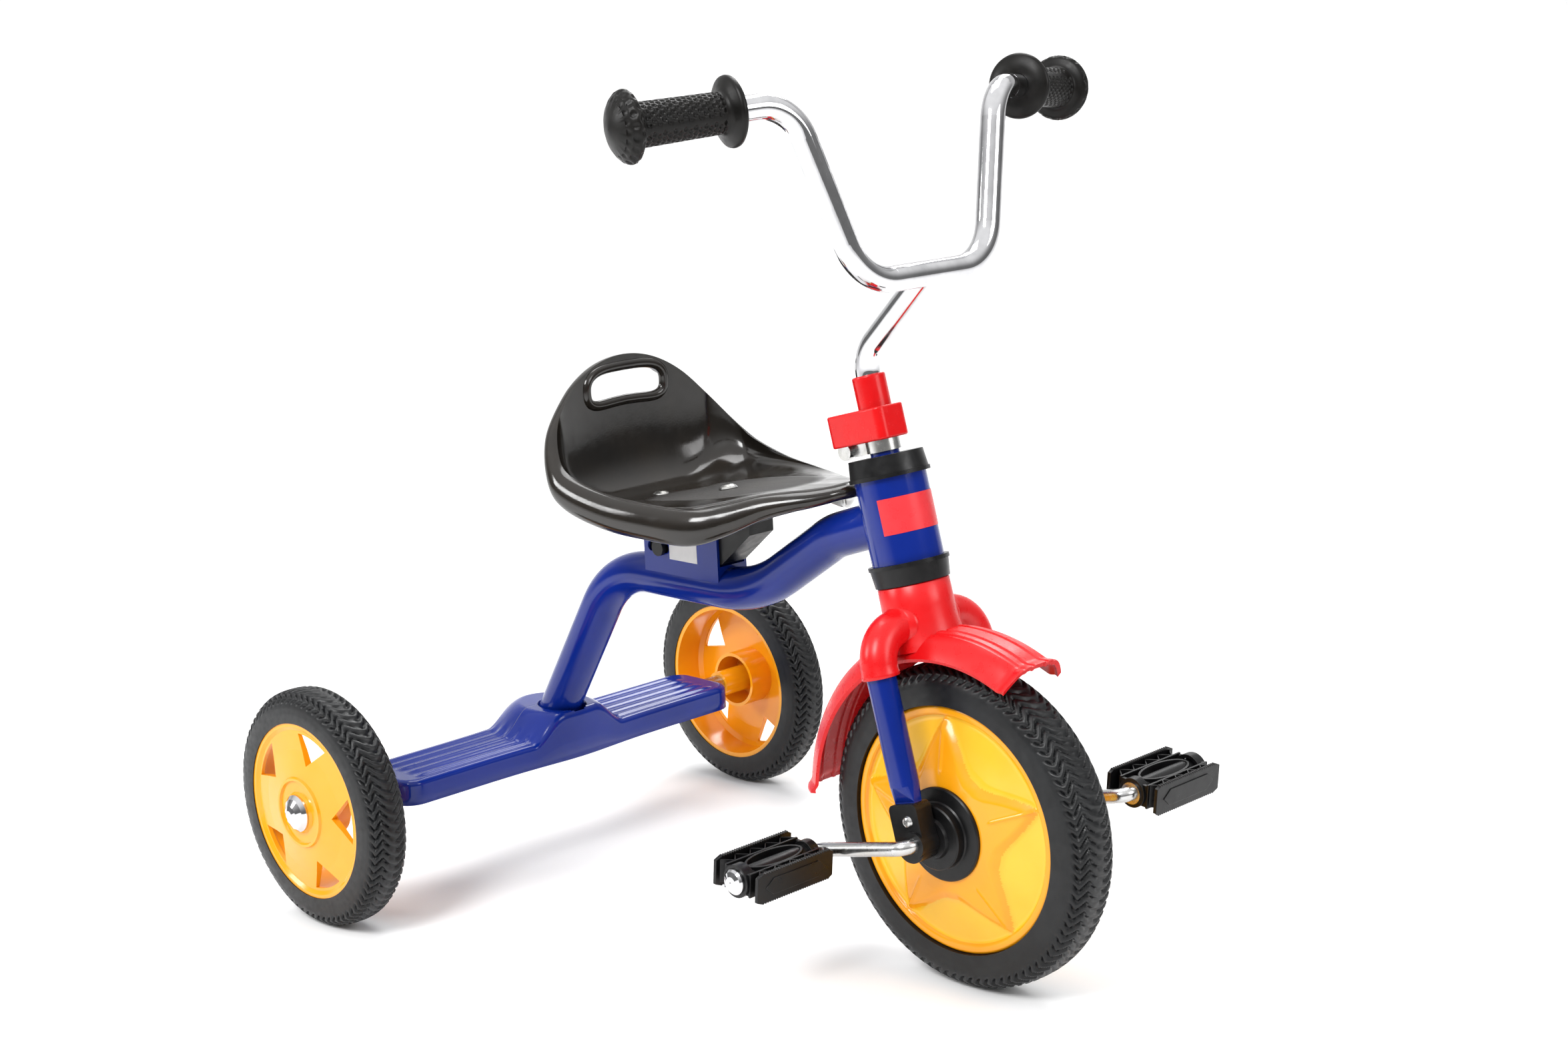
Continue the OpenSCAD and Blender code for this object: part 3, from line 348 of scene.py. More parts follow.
@dataclass(frozen=True)
class GrainedPlastic(MouldedPlastic):
    """Moulded plastic with an oval of coarse grain, such as a seat's sitting place."""

    middle_mm: tuple[float, float] = (-4.0, 0.0)
    half_mm: tuple[float, float] = (84.0, 58.0)
    oval_edge: tuple[float, float] = (1.04, 0.9)
    oval_roughness: float = 0.62
    coarse_mm: float = 2.4
    coarse_depth_mm: float = 0.5
    coarse_strength: float = 0.9

    def dress(self, tree: bpy.types.NodeTree, shader: bpy.types.Node, place: bpy.types.NodeSocket) -> None:
        """Adds the plain finish, then the oval's grain.

        Args:
            tree: Node tree of the material.
            shader: The main shader node.
            place: Place on the object, in metres.
        """
        super().dress(tree, shader, place)
        scale = [1 / (half * MM) for half in self.half_mm]
        shift = [-middle * MM * factor for middle, factor in zip(self.middle_mm, scale)]
        spread = add_node(tree, "ShaderNodeVectorMath", {
            "operation": "MULTIPLY_ADD", 1: (*scale, 0.0), 2: (*shift, 0.0)}, in0=place)
        reach = add_node(tree, "ShaderNodeVectorMath", {"operation": "LENGTH"}, in0=spread.outputs[0])
        edge = {"From Min": self.oval_edge[0], "From Max": self.oval_edge[1]}
        inside = add_node(tree, "ShaderNodeMapRange", edge, Value=reach.outputs["Value"]).outputs[0]
        smooth = shader.inputs["Roughness"].links[0].from_socket
        mixed = add_node(tree, "ShaderNodeMix", {3: self.oval_roughness}, in0=inside, in2=smooth)
        tree.links.new(mixed.outputs[0], shader.inputs["Roughness"])
        grain = add_cloud(tree, place, self.coarse_mm, self.grain_detail)
        height = add_node(tree, "ShaderNodeMath", {"operation": "MULTIPLY"}, in0=grain, in1=inside)
        depth = {"Distance": self.coarse_depth_mm * MM, "Strength": self.coarse_strength}
        fine = shader.inputs["Normal"].links[0].from_socket
        bump = add_node(tree, "ShaderNodeBump", depth, Height=height.outputs[0], Normal=fine)
        tree.links.new(bump.outputs[0], shader.inputs["Normal"])


@dataclass(frozen=True)
class Rubber(Finish):
    """Vulcanised rubber from a matt mould, greyed by dust."""

    share: float = 0.5
    patch_mm: float = 14.0
    roughness: tuple[float, float] = (0.32, 0.5)
    rough_mm: float = 5.0
    grain_mm: float = 0.7
    grain_detail: float = 3.0
    grain_depth_mm: float = 0.05
    shine: float = 0.34
    refraction: float = 1.52


@dataclass(frozen=True)
class PlatedMetal(Finish):
    """Plated steel, bright chromium or softer zinc, with a slow ripple."""

    share: float = 0.35
    patch_mm: float = 20.0
    roughness: tuple[float, float] = (0.04, 0.09)
    rough_mm: float = 6.0
    grain_mm: float = 12.0
    grain_depth_mm: float = 0.08
    grain_strength: float = 0.2
    metallic: float = 1.0


FRAME_PAINT = PowderCoat("powder_coated_steel_blue", "#09247c", "#071c62")
MUDGUARD_RED = MouldedPlastic("moulded_polypropylene_red", "#d40f14", "#a8060c", share=0.35, patch_mm=70,
                              roughness=(0.24, 0.36))
COVER_RED = MouldedPlastic("moulded_abs_red", "#d1070c", "#a8060c", patch_mm=30, roughness=(0.2, 0.3))
WHEEL_YELLOW = MouldedPlastic("moulded_polypropylene_yellow", "#ee9a0c", "#efa41a", share=0.5, patch_mm=45,
                              roughness=(0.13, 0.22), shine=0.5)
PANEL_YELLOW = MouldedPlastic("thin_moulded_polypropylene_yellow", "#edb62c", "#e8a81c", share=0.4,
                              patch_mm=30, roughness=(0.13, 0.22), shine=0.5)
TYRE = Rubber("vulcanised_rubber_black", "#0b0c0e", "#1b1d1f")
# The warm brown in this seat's colour and in its patches is a painted warm sheen. It stands in for a warm
# reflection on the black plastic.
SEAT_WITH_PAINTED_SHEEN = GrainedPlastic("blow_moulded_polyethylene_black", "#15120f", "#2a241d", share=0.5, patch_mm=40,
                      roughness=(0.1, 0.19), grain_mm=1.6, grain_depth_mm=0.05, shine=0.6)
NYLON = MouldedPlastic("moulded_nylon_black", "#0b0b0c", "#1a1a1b", share=0.4, patch_mm=15,
                       roughness=(0.26, 0.42), grain_mm=0.8, grain_depth_mm=0.04, shine=0.3)
GRIP = MouldedPlastic("moulded_pvc_black", "#0b0a09", "#181614", share=0.5, patch_mm=10,
                      roughness=(0.3, 0.45), grain_mm=0.7, grain_depth_mm=0.04, shine=0.22)
CHROME = PlatedMetal("polished_chromium_plate", "#dcdcde", "#8f8f92")
ZINC = PlatedMetal("bright_zinc_plate", "#c9cacb", "#b3ab97", roughness=(0.16, 0.32), grain_mm=5)
BADGE = MouldedPlastic("printed_vinyl_red", "#d8343a", "#c0262c", patch_mm=20, roughness=(0.25, 0.35))
LABEL = MouldedPlastic("printed_vinyl_white", "#c9c8c8", "#b0b0b2", share=0.4, patch_mm=12,
                       roughness=(0.35, 0.5))
BUSH = MouldedPlastic("moulded_acetal_cream", "#b99a4c", "#8f7433", share=0.4, patch_mm=6,
                      roughness=(0.35, 0.5))
PAPER = MouldedPlastic("matt_paper_white", "#f4f4f4", "#efefef", patch_mm=400, roughness=(0.75, 0.85))

NODE_FINISHES: dict[Finish, tuple[str, ...]] = {
    FRAME_PAINT: ("spine_tube", "head_tube", "seat_bracket", "rear_deck", "steerer_tube", "fork_leg_left",
                  "fork_leg_right"),
    MUDGUARD_RED: ("mudguard",),
    COVER_RED: ("clamp_cover",),
    WHEEL_YELLOW: ("rear_wheel_left", "rear_wheel_right", "front_wheel_half_left", "front_wheel_half_right"),
    TYRE: ("rear_tyre_left", "rear_tyre_right", "front_tyre"),
    SEAT_WITH_PAINTED_SHEEN: ("seat_shell",),
    NYLON: ("head_cup_top", "head_cup_bottom", "seat_mount_block", "seat_cross_bolt", "axle_bracket_left",
            "axle_bracket_right", "hub_flange_left", "hub_flange_right", "pedal_left", "pedal_right"),
    GRIP: ("grip_left", "grip_right"),
    CHROME: ("handlebar_stem", "handlebar", "axle_caps", "pedal_caps"),
    ZINC: ("rear_axle", "axle_spacers", "seat_bolts", "seat_cross_nut", "clamp_band", "clamp_bolt",
           "clamp_nut", "bracket_screws", "crank_axle", "pedal_washers"),
    BADGE: ("head_badge",),
    LABEL: ("bracket_label",),
    BUSH: ("pedal_bush_left", "pedal_bush_right"),
}


def dress_nodes() -> None:
    """Gives every CAD node its finish."""
    for finish, nodes in NODE_FINISHES.items():
        for node in nodes:
            piece = bpy.data.objects[node]
            piece.data.materials.clear()
            piece.data.materials.append(finish.material())
            log.info("dressed %s with %s", node, finish.name)


def place_piece(piece: bpy.types.Object, body: str, finish: Finish | None,
                nodes: Sequence[str] = ()) -> None:
    """Dresses a new piece and ties it to the model.

    Args:
        piece: The new piece.
        body: Body that it moves with.
        finish: Its finish, or None if it has its materials already.
        nodes: CAD nodes that it stands for.
    """
    if finish:
        piece.data.materials.append(finish.material())
    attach(piece, body)
    if nodes:
        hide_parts(*nodes)
    log.info("made %s on %s", piece.name, body)


# ------------------------------------------------------------------ wheels


@dataclass
class Tyre:
    """A tyre with a herringbone tread cut into its crown; lengths in metres.

    Places across the tread run from -1 to 1. A groove starts, begins to end and ends at its three shares of a
    bar, and the fine ring on the wall lies between its four shares of the half section.
    """

    node: str
    body: str
    outer: float
    seat: float
    half_width: float
    bars: int
    depth: float = 2.0 * MM
    steps: int = 52
    per_bar: int = 7
    crown_power: float = 0.75
    wall_power: float = 0.6
    tread_share: float = 0.3
    tread_end: tuple[float, float] = (0.95, 1.12)
    folds: float = 2.5
    lean: float = 1.1
    groove: tuple[float, float, float] = (0.12, 0.34, 0.5)
    ring: tuple[float, float, float, float] = (0.385, 0.39, 0.4, 0.405)
    ring_depth: float = 0.7 * MM

    def tread(self, turn: float, across: float) -> float:
        """How deep the tread is cut.

        Args:
            turn: Share of a full turn.
            across: Place across the tread.

        Returns:
            Share of the full depth, from 0 to 1.
        """
        edge = abs(across)
        if edge > self.tread_end[1]:
            return 0.0
        fold = abs((edge * self.folds) % 2 - 1)
        wave = (turn * self.bars + fold * self.lean + (0.5 if across < 0 else 0)) % 1
        start, ending, end = self.groove
        groove = smooth_step(0.0, start, wave) * (1 - smooth_step(ending, end, wave))
        return groove * (1 - smooth_step(*self.tread_end, edge)) * smooth_step(-0.03, 0.02, edge)

    def build(self) -> bpy.types.Object:
        """Makes the tyre's mesh.

        Returns:
            The tyre.
        """
        middle = centre_of(self.node)
        around = self.bars * self.per_bar
        points = []
        for i in range(around):
            turn = i / around
            ray = Vector((math.cos(2 * math.pi * turn), 0, math.sin(2 * math.pi * turn)))
            for k in range(self.steps + 1):
                share = k / self.steps
                s, c = math.sin(math.pi * share), math.cos(math.pi * share)
                radius = self.seat + (self.outer - self.seat) * abs(s) ** self.crown_power
                side = self.half_width * math.copysign(abs(c) ** self.wall_power, c)
                cut = self.depth * self.tread(turn, (share - 0.5) / self.tread_share)
                wall = abs(share - 0.5)
                ring = smooth_step(*self.ring[:2], wall) - smooth_step(*self.ring[2:], wall)
                away = Vector((ray.x * s, c, ray.z * s)) * (cut + self.ring_depth * ring)
                points.append(middle + ray * radius + Vector((0, side, 0)) - away)
        faces = grid_faces(around, self.steps + 1, True, True)
        return make_mesh(self.node + "_tread", points, faces, crease_deg=55)

    def make(self) -> None:
        """Builds, dresses and ties the tyre."""
        place_piece(self.build(), self.body, TYRE, [self.node])


@dataclass
class FrontWheelFace:
    """One half of the closed front wheel, with a five-lobed boss and five ridges; lengths in millimetres.

    Panel, boss and radii run outwards from the axle. Heights are above the wheel's middle plane.
    """

    side: Side
    seat: float = 95.5
    hub: float = 5.6
    flat: float = 36.0
    lobes: int = 5
    lobe_root: float = 51.0
    lobe_reach: float = 36.0
    lobe_half: float = 0.42
    lobe_power: float = 1.7
    boss_slope: tuple[float, float] = (-8.0, 6.0)
    boss_margin: float = 1.5
    first_ridge_deg: float = 21.0
    ridge: float = 1.3
    ridge_half: float = 0.9
    ridge_ends: tuple[float, float, float, float] = (44.0, 50.0, 82.0, 86.0)
    rim: tuple[float, float] = (86.5, 89.5)
    panel_edge: float = 87.0
    lip: float = 20.6
    lip_round: tuple[float, float, float] = (93.0, 2.5, 2.2)
    inside: float = 10.0
    around: int = 360
    panel: tuple[tuple[float, float], ...] = ((36, 26.5), (50, 24.5), (70, 20.5), (84, 17.5), (88, 17.2))
    boss: tuple[tuple[float, float], ...] = ((36, 30.5), (48, 29.2), (86, 21.5))

    def from_ridge(self, angle: float) -> float:
        """Share of a lobe between an angle past the first ridge, in radians, and the nearest ridge."""
        swing = (angle * self.lobes / (2 * math.pi)) % 1
        return min(swing, 1 - swing)

    def lobe_edge(self, near: float) -> float:
        """Radius of the boss's edge, from a ridge (0) to midway between two (0.5)."""
        return self.lobe_root + self.lobe_reach * (1 - min(1.0, near / self.lobe_half)) ** self.lobe_power

    def face(self, radius: float, angle: float) -> float:
        """Height of the outer face.

        Args:
            radius: Distance from the axle.
            angle: Angle past the first ridge, in radians.

        Returns:
            The height above the wheel's middle plane.
        """
        near = self.from_ridge(angle)
        edge = self.lobe_edge(near)
        panel, boss = interpolate(self.panel, radius), interpolate(self.boss, radius)
        start, end = (edge + reach for reach in self.boss_slope)
        height = panel + (boss - panel) * (1 - smooth_step(start, end, radius))
        arc = near * 2 * math.pi / self.lobes * radius
        ends = smooth_step(*self.ridge_ends[:2], radius) * (1 - smooth_step(*self.ridge_ends[2:], radius))
        ridge = self.ridge * math.exp(-((arc / self.ridge_half) ** 2)) * ends
        rim = smooth_step(*self.rim, radius)
        round_start, width, drop = self.lip_round
        lip = self.lip - drop * max(0.0, (radius - round_start) / width) ** 2
        return (height + ridge) * (1 - rim) + lip * rim

    def build(self) -> bpy.types.Object:
        """Makes the half wheel's mesh, with its thin panels in a paler plastic.

        Returns:
            The half wheel.
        """
        middle = centre_of("front_tyre")
        first = math.radians(self.first_ridge_deg)
        radii = [self.hub, 20, 34, 36, 38, 40, *(42 + 1.25 * i for i in range(36)), 87.5, 88.3, 89.2,
                 *range(90, 96), self.seat]
        points = []
        for i in range(self.around):
            angle = 2 * math.pi * i / self.around
            ray = Vector((math.cos(angle + first), 0, math.sin(angle + first)))
            line = [(r, self.face(max(self.flat, r), angle)) for r in radii]
            line += [(self.seat, 0.0), (self.hub, 0.0)]
            points += [middle + (ray * r + Vector((0, self.side.value * y, 0))) * MM for r, y in line]
        faces = grid_faces(self.around, len(radii) + 2, True, True)
        piece = make_mesh(f"front_wheel_half_{self.side.word}_relief", points, faces, crease_deg=60)
        for finish in (WHEEL_YELLOW, PANEL_YELLOW):
            piece.data.materials.append(finish.material())
        for polygon in piece.data.polygons:
            spot = (polygon.center - middle) / MM
            reach = math.hypot(spot.x, spot.z)
            edge = self.lobe_edge(self.from_ridge(math.atan2(spot.z, spot.x) - first)) + self.boss_margin
            polygon.material_index = int(edge < reach < self.panel_edge and abs(spot.y) > self.inside)
        return piece

    def make(self) -> None:
        """Builds, dresses and ties the half wheel."""
        node = "front_wheel_half_" + self.side.word
        place_piece(self.build(), "front_wheel", None, [node])


# ------------------------------------------------------------------ grips


@dataclass(frozen=True)
class CellBand:
    """A band of small round cells on a grip, in rows along it; lengths in millimetres.

    A hole is the radius of a cell as a share of the pitch. One cell in so many is left out as a rib, or none
    if that number is 0.
    """

    low: float
    high: float
    first_row: float
    pitch: float
    row_step: float
    count: int
    hole: float
    rib_every: int = 0

    def cut(self, along: float, angle: float, radius: float) -> float:
        """How deep a cell is cut.

        Args:
            along: Distance from the inner end.
            angle: Angle round the grip, in turns.
            radius: Radius of the surface there.

        Returns:
            Share of the full depth, from 0 to 1.
        """
        row = (along - self.first_row) / self.row_step
        nearest = round(row)
        place = angle * self.count + (0.5 if nearest % 2 else 0)
        if self.rib_every and math.floor(place) % self.rib_every == 0:
            return 0.0
        arc = 2 * math.pi * radius / self.count
        across = (place - math.floor(place) - 0.5) * arc
        reach = math.hypot(across, (row - nearest) * self.row_step) / min(self.pitch, arc)
        return 1 - smooth_step(self.hole - 0.08, self.hole + 0.04, reach)


BODY_PITCH = 2 * math.pi * 15 / 21
GRIP_CELLS = (
    CellBand(14, 75, 14, BODY_PITCH, BODY_PITCH * 0.87, 21, 0.36, 7),
    CellBand(80, 90.5, 80.5, 5.2, 5.2, 18, 0.4),
)


@dataclass
class Grip:
    """A handlebar grip with a double-coned flange, a body of small cells and a mushroom end.

    The profile is in millimetres: distance from the inner end, and radius.
    """

    side: Side
    around: int = 136
    cell_depth: float = 1.1
    sweep_deg: float = 17.0
    length: float = 96.0
    crown: float = 1.7
    step: float = 0.62
    fine: tuple[float, float] = (12.0, 93.0)
    profile: tuple[tuple[float, float], ...] = (
        (0, 9.6), (0, 15), (0.6, 18), (2.2, 23), (3.4, 24.6), (5, 25), (6.6, 24.6), (7.8, 23), (9.6, 18.5),
        (11, 15.8), (13, 14.6), (40, 15.0), (74, 15.6), (76.5, 16.3), (78, 19), (79, 23), (80.5, 25),
        (82.5, 25.4), (85, 24.6), (88, 22), (91, 18), (93.5, 12.5), (95, 7), (95.9, 2), (96, 0.3),
    )

    def depth(self, along: float, angle: float, radius: float) -> float:
        """Depth of the cells.

        Args:
            along: Distance from the inner end, in millimetres.
            angle: Angle round the grip, in turns.
            radius: Radius of the surface there, in millimetres.

        Returns:
            The depth, in millimetres.
        """
        for band in GRIP_CELLS:
            if band.low < along < band.high:
                return self.cell_depth * band.cut(along, angle, radius)
        return 0.0

    def stations(self) -> list[tuple[float, float]]:
        """Cuts the profile into short steps where the cells are.

        Returns:
            Distance from the inner end and radius of each ring of points, in millimetres.
        """
        rings = []
        for (z0, r0), (z1, r1) in zip(self.profile, self.profile[1:]):
            parts = max(1, round(abs(z1 - z0) / self.step)) if self.fine[0] < z1 < self.fine[1] else 1
            rings += [(z0 + (z1 - z0) * i / parts, r0 + (r1 - r0) * i / parts) for i in range(parts)]
        return [*rings, self.profile[-1]]

    def axis(self, spots: list[Vector]) -> tuple[Vector, Vector]:
        """Finds where the grip lies.

        Args:
            spots: Points of the CAD grip.

        Returns:
            Outer tip of the grip, and the direction towards it.
        """
        lean = Vector(find_joint("steering")["axis"])
        forward = Vector((lean.z, 0, -lean.x))
        sweep = math.radians(self.sweep_deg)
        way = (Vector((0, self.side.value, 0)) * math.cos(sweep) - forward * math.sin(sweep)).normalized()
        far = max(p.dot(way) for p in spots)
        crown = [p for p in spots if p.dot(way) > far - self.crown * MM]
        core = sum(crown, Vector()) / len(crown)
        return core + way * (far - core.dot(way)), way

    def build(self) -> bpy.types.Object:
        """Makes the grip's mesh along the CAD grip's axis.

        Returns:
            The grip.
        """
        node = "grip_" + self.side.word
        tip, way = self.axis([v.co.copy() for v in bpy.data.objects[node].data.vertices])
        stations = self.stations()
        side = way.orthogonal().normalized()
        up = way.cross(side)
        points = []
        for i in range(self.around):
            turn = i / self.around
            ray = side * math.cos(2 * math.pi * turn) + up * math.sin(2 * math.pi * turn)
            for z, r in stations:
                radius = r - self.depth(z, turn, r)
                points.append(tip - way * ((self.length - z) * MM) + ray * (radius * MM))
        faces = grid_faces(self.around, len(stations), True, False)
        return make_mesh(node + "_cells", points, faces, crease_deg=50)

    def make(self) -> None:
        """Builds, dresses and ties the grip."""
        place_piece(self.build(), "handlebar", GRIP, ["grip_" + self.side.word])


# ------------------------------------------------------------------ rear step


@dataclass
class RearDeck:
    """The pressed steel step: fluted top, hump round the spine tube and a turned-down skirt.

    The sheet's own measures are in metres. The relief of its top, from the hump on, is in millimetres.
    """

    top: float = 113 * MM
    half_length: float = 187 * MM
    half_width: float = 37.5 * MM
    corner: float = 18 * MM
    least_corner: float = 0.4 * MM
    edge: float = 5 * MM
    skirt: float = 21 * MM
    sheet: float = 2 * MM
    bulge: float = 0.13
    bulge_half: float = 48 * MM
    hump: float = 22.0
    hump_middle: float = 8.0
    hump_squash: float = 0.8
    hump_slope: tuple[float, float] = (27.0, 56.0)
    flute_pitch: float = 13.5
    flute_height: float = 1.7
    flute_inner: tuple[float, float] = (36.0, 52.0)
    flute_outer: tuple[float, float] = (160.0, 170.0)
    flute_sides: tuple[float, float] = (27.0, 31.0)
    well: float = 13.0
    well_middle: float = 14.5
    well_squash: float = 0.9
    well_slope: tuple[float, float] = (18.4, 19.4)
    side_points: int = 220
    end_points: int = 26
    corner_points: int = 10

    def outline(self, inset: float) -> list[tuple[float, float]]:
        """Outline of the step from above, moved inwards.

        Args:
            inset: How far it is moved in, in metres.

        Returns:
            Points round the outline, the same number for every inset.
        """
        a, b = self.half_width - inset, self.half_length - inset
        c = min(a, max(self.corner - inset, self.least_corner))
        loop = []
        for n, (x_sign, y_sign) in enumerate(CORNER_SIGNS):
            for i in range(self.corner_points):
                turn = math.pi / 2 * (n + i / (self.corner_points - 1))
                loop.append((x_sign * (a - c) + c * math.cos(turn), y_sign * (b - c) + c * math.sin(turn)))
            if n % 2 == 0:
                loop += [(x_sign * (a - c) * (1 - 2 * i / self.end_points), y_sign * b)
                         for i in range(1, self.end_points)]
            else:
                for i in range(1, self.side_points):
                    t = 1 - 2 * i / self.side_points
                    loop.append((x_sign * a, y_sign * (b - c) * (0.42 * t + 0.58 * t**3)))
        return loop

    def height(self, x: float, y: float) -> float:
        """Height of the top above its flat.

        Args:
            x: Distance forward of the step's middle, in millimetres.
            y: Distance from the middle plane, in millimetres.

        Returns:
            The height, in millimetres.
        """
        reach = math.hypot(self.hump_squash * (x - self.hump_middle), y)
        rise = self.hump * (1 - smooth_step(*self.hump_slope, reach))
        fluted = smooth_step(*self.flute_inner, abs(y)) * (1 - smooth_step(*self.flute_outer, abs(y)))
        fluted *= 1 - smooth_step(*self.flute_sides, abs(x))
        flute = 0.5 + 0.5 * math.cos(2 * math.pi * x / self.flute_pitch)
        well = 1 - smooth_step(*self.well_slope, math.hypot(self.well_squash * (x - self.well_middle), y))
        return rise + self.flute_height * flute * fluted - self.well * well

    def make(self) -> None:
        """Builds, dresses and ties the step."""
        middle_x = centre_of("rear_deck").x
        rows = [(0.0, -self.skirt), (0.0, -self.skirt * 0.6), (0.0, -self.edge)]
        rows += [(self.edge * (1 - math.cos(a)), self.edge * (math.sin(a) - 1))
                 for a in (math.pi / 2 * i / 6 for i in range(1, 7))]
        rows += [(self.edge + (self.half_width - 0.02 * MM - self.edge) * i / 30, 0.0) for i in range(1, 31)]
        points: list[Vector] = []
        for inset, drop in rows:
            for x, y in self.outline(inset):
                bulge = 1 + self.bulge * math.exp(-((y / self.bulge_half) ** 2))
                lift = self.height(x / MM, y / MM) * MM * (1 - smooth_step(0, 1, -drop / self.skirt))
                points.append(Vector((middle_x + x * bulge, y, self.top + drop + lift)))
        faces = grid_faces(len(rows), len(self.outline(0)), False, True)
        piece = make_mesh("rear_deck_pressing", points, faces, crease_deg=60)
        wall = piece.modifiers.new("sheet", "SOLIDIFY")
        wall.thickness = self.sheet
        wall.offset = -1
        place_piece(piece, "frame", FRAME_PAINT, ["rear_deck"])


# ------------------------------------------------------------------ pedals


class Builder:
    """Gathers prisms and rings into one mesh. Its measures are in millimetres."""

    def __init__(self) -> None:
        """Starts with nothing."""
        self.points: list[Vector] = []
        self.faces: list[tuple[int, ...]] = []

    def level(self, outline: Sequence[tuple[float, float]], axes: str, height: float) -> None:
        """Adds the points of an outline at one height.

        Args:
            outline: Points in the plane of the first two axes.
            axes: The outline's two axes and the axis that the height is along, such as "yzx".
            height: Height of the outline.
        """
        for first, second in outline:
            spot = dict(zip(axes, (first, second, height)))
            self.points.append(Vector((spot["x"], spot["y"], spot["z"])) * MM)

    def prism(self, outline: Sequence[tuple[float, float]], axes: str, low: float, high: float) -> None:
        """Adds a flat outline pushed along one axis.

        Args:
            outline: Points in the plane of the first two axes.
            axes: The outline's two axes and the axis that it is pushed along.
            low: Where the push starts.
            high: Where the push ends.
        """
        start, count = len(self.points), len(outline)
        for height in (low, high):
            self.level(outline, axes, height)
        self.faces.append(tuple(start + i for i in reversed(range(count))))
        self.faces.append(tuple(start + count + i for i in range(count)))
        self.faces += grid_faces(2, count, False, True, start)

    def block(self, first: tuple[float, float], second: tuple[float, float], axes: str, low: float,
              high: float) -> None:
        """Adds a four-sided block.

        Args:
            first: Where it starts and ends along the first axis.
            second: Where it starts and ends along the second axis.
            axes: As for a prism.
            low: Where the block starts along the third axis.
            high: Where it ends along the third axis.
        """
        (a, b), (c, d) = first, second
        self.prism([(a, c), (b, c), (b, d), (a, d)], axes, low, high)

    def ring(self, outer: tuple[float, float], wall: float, centre: tuple[float, float], axes: str,
             low: float, high: float, count: int = 48) -> None:
        """Adds a round or oval ring.

        Args:
            outer: Half sizes of the outside.
            wall: Thickness of the wall; as large as the half size it makes a disc.
            centre: Middle of the ring.
            axes: As for a prism.
            low: Where the ring starts.
            high: Where the ring ends.
            count: Number of points round it.
        """
        start = len(self.points)
        for shrink, height in ((0, low), (0, high), (wall, high), (wall, low)):
            half = [max(0.01, size - shrink) for size in outer]
            turns = [2 * math.pi * i / count for i in range(count)]
            outline = [(centre[0] + half[0] * math.cos(a), centre[1] + half[1] * math.sin(a)) for a in turns]
            self.level(outline, axes, height)
        self.faces += grid_faces(4, count, True, True, start)

    def object(self, name: str, place: Matrix, bevel_mm: float = 0.0) -> bpy.types.Object:
        """Makes the object.

        Args:
            name: Name of the object.
            place: Where its own frame lies in the model's.
            bevel_mm: Width of the rounding on its edges.

        Returns:
            The new object.
        """
        piece = make_mesh(name, [place @ p for p in self.points], self.faces, crease_deg=35)
        if bevel_mm:
            soft = piece.modifiers.new("rounding", "BEVEL")
            soft.width = bevel_mm * MM
            soft.segments = 3
            soft.limit_method = "ANGLE"
            soft.angle_limit = math.radians(50)
        return piece


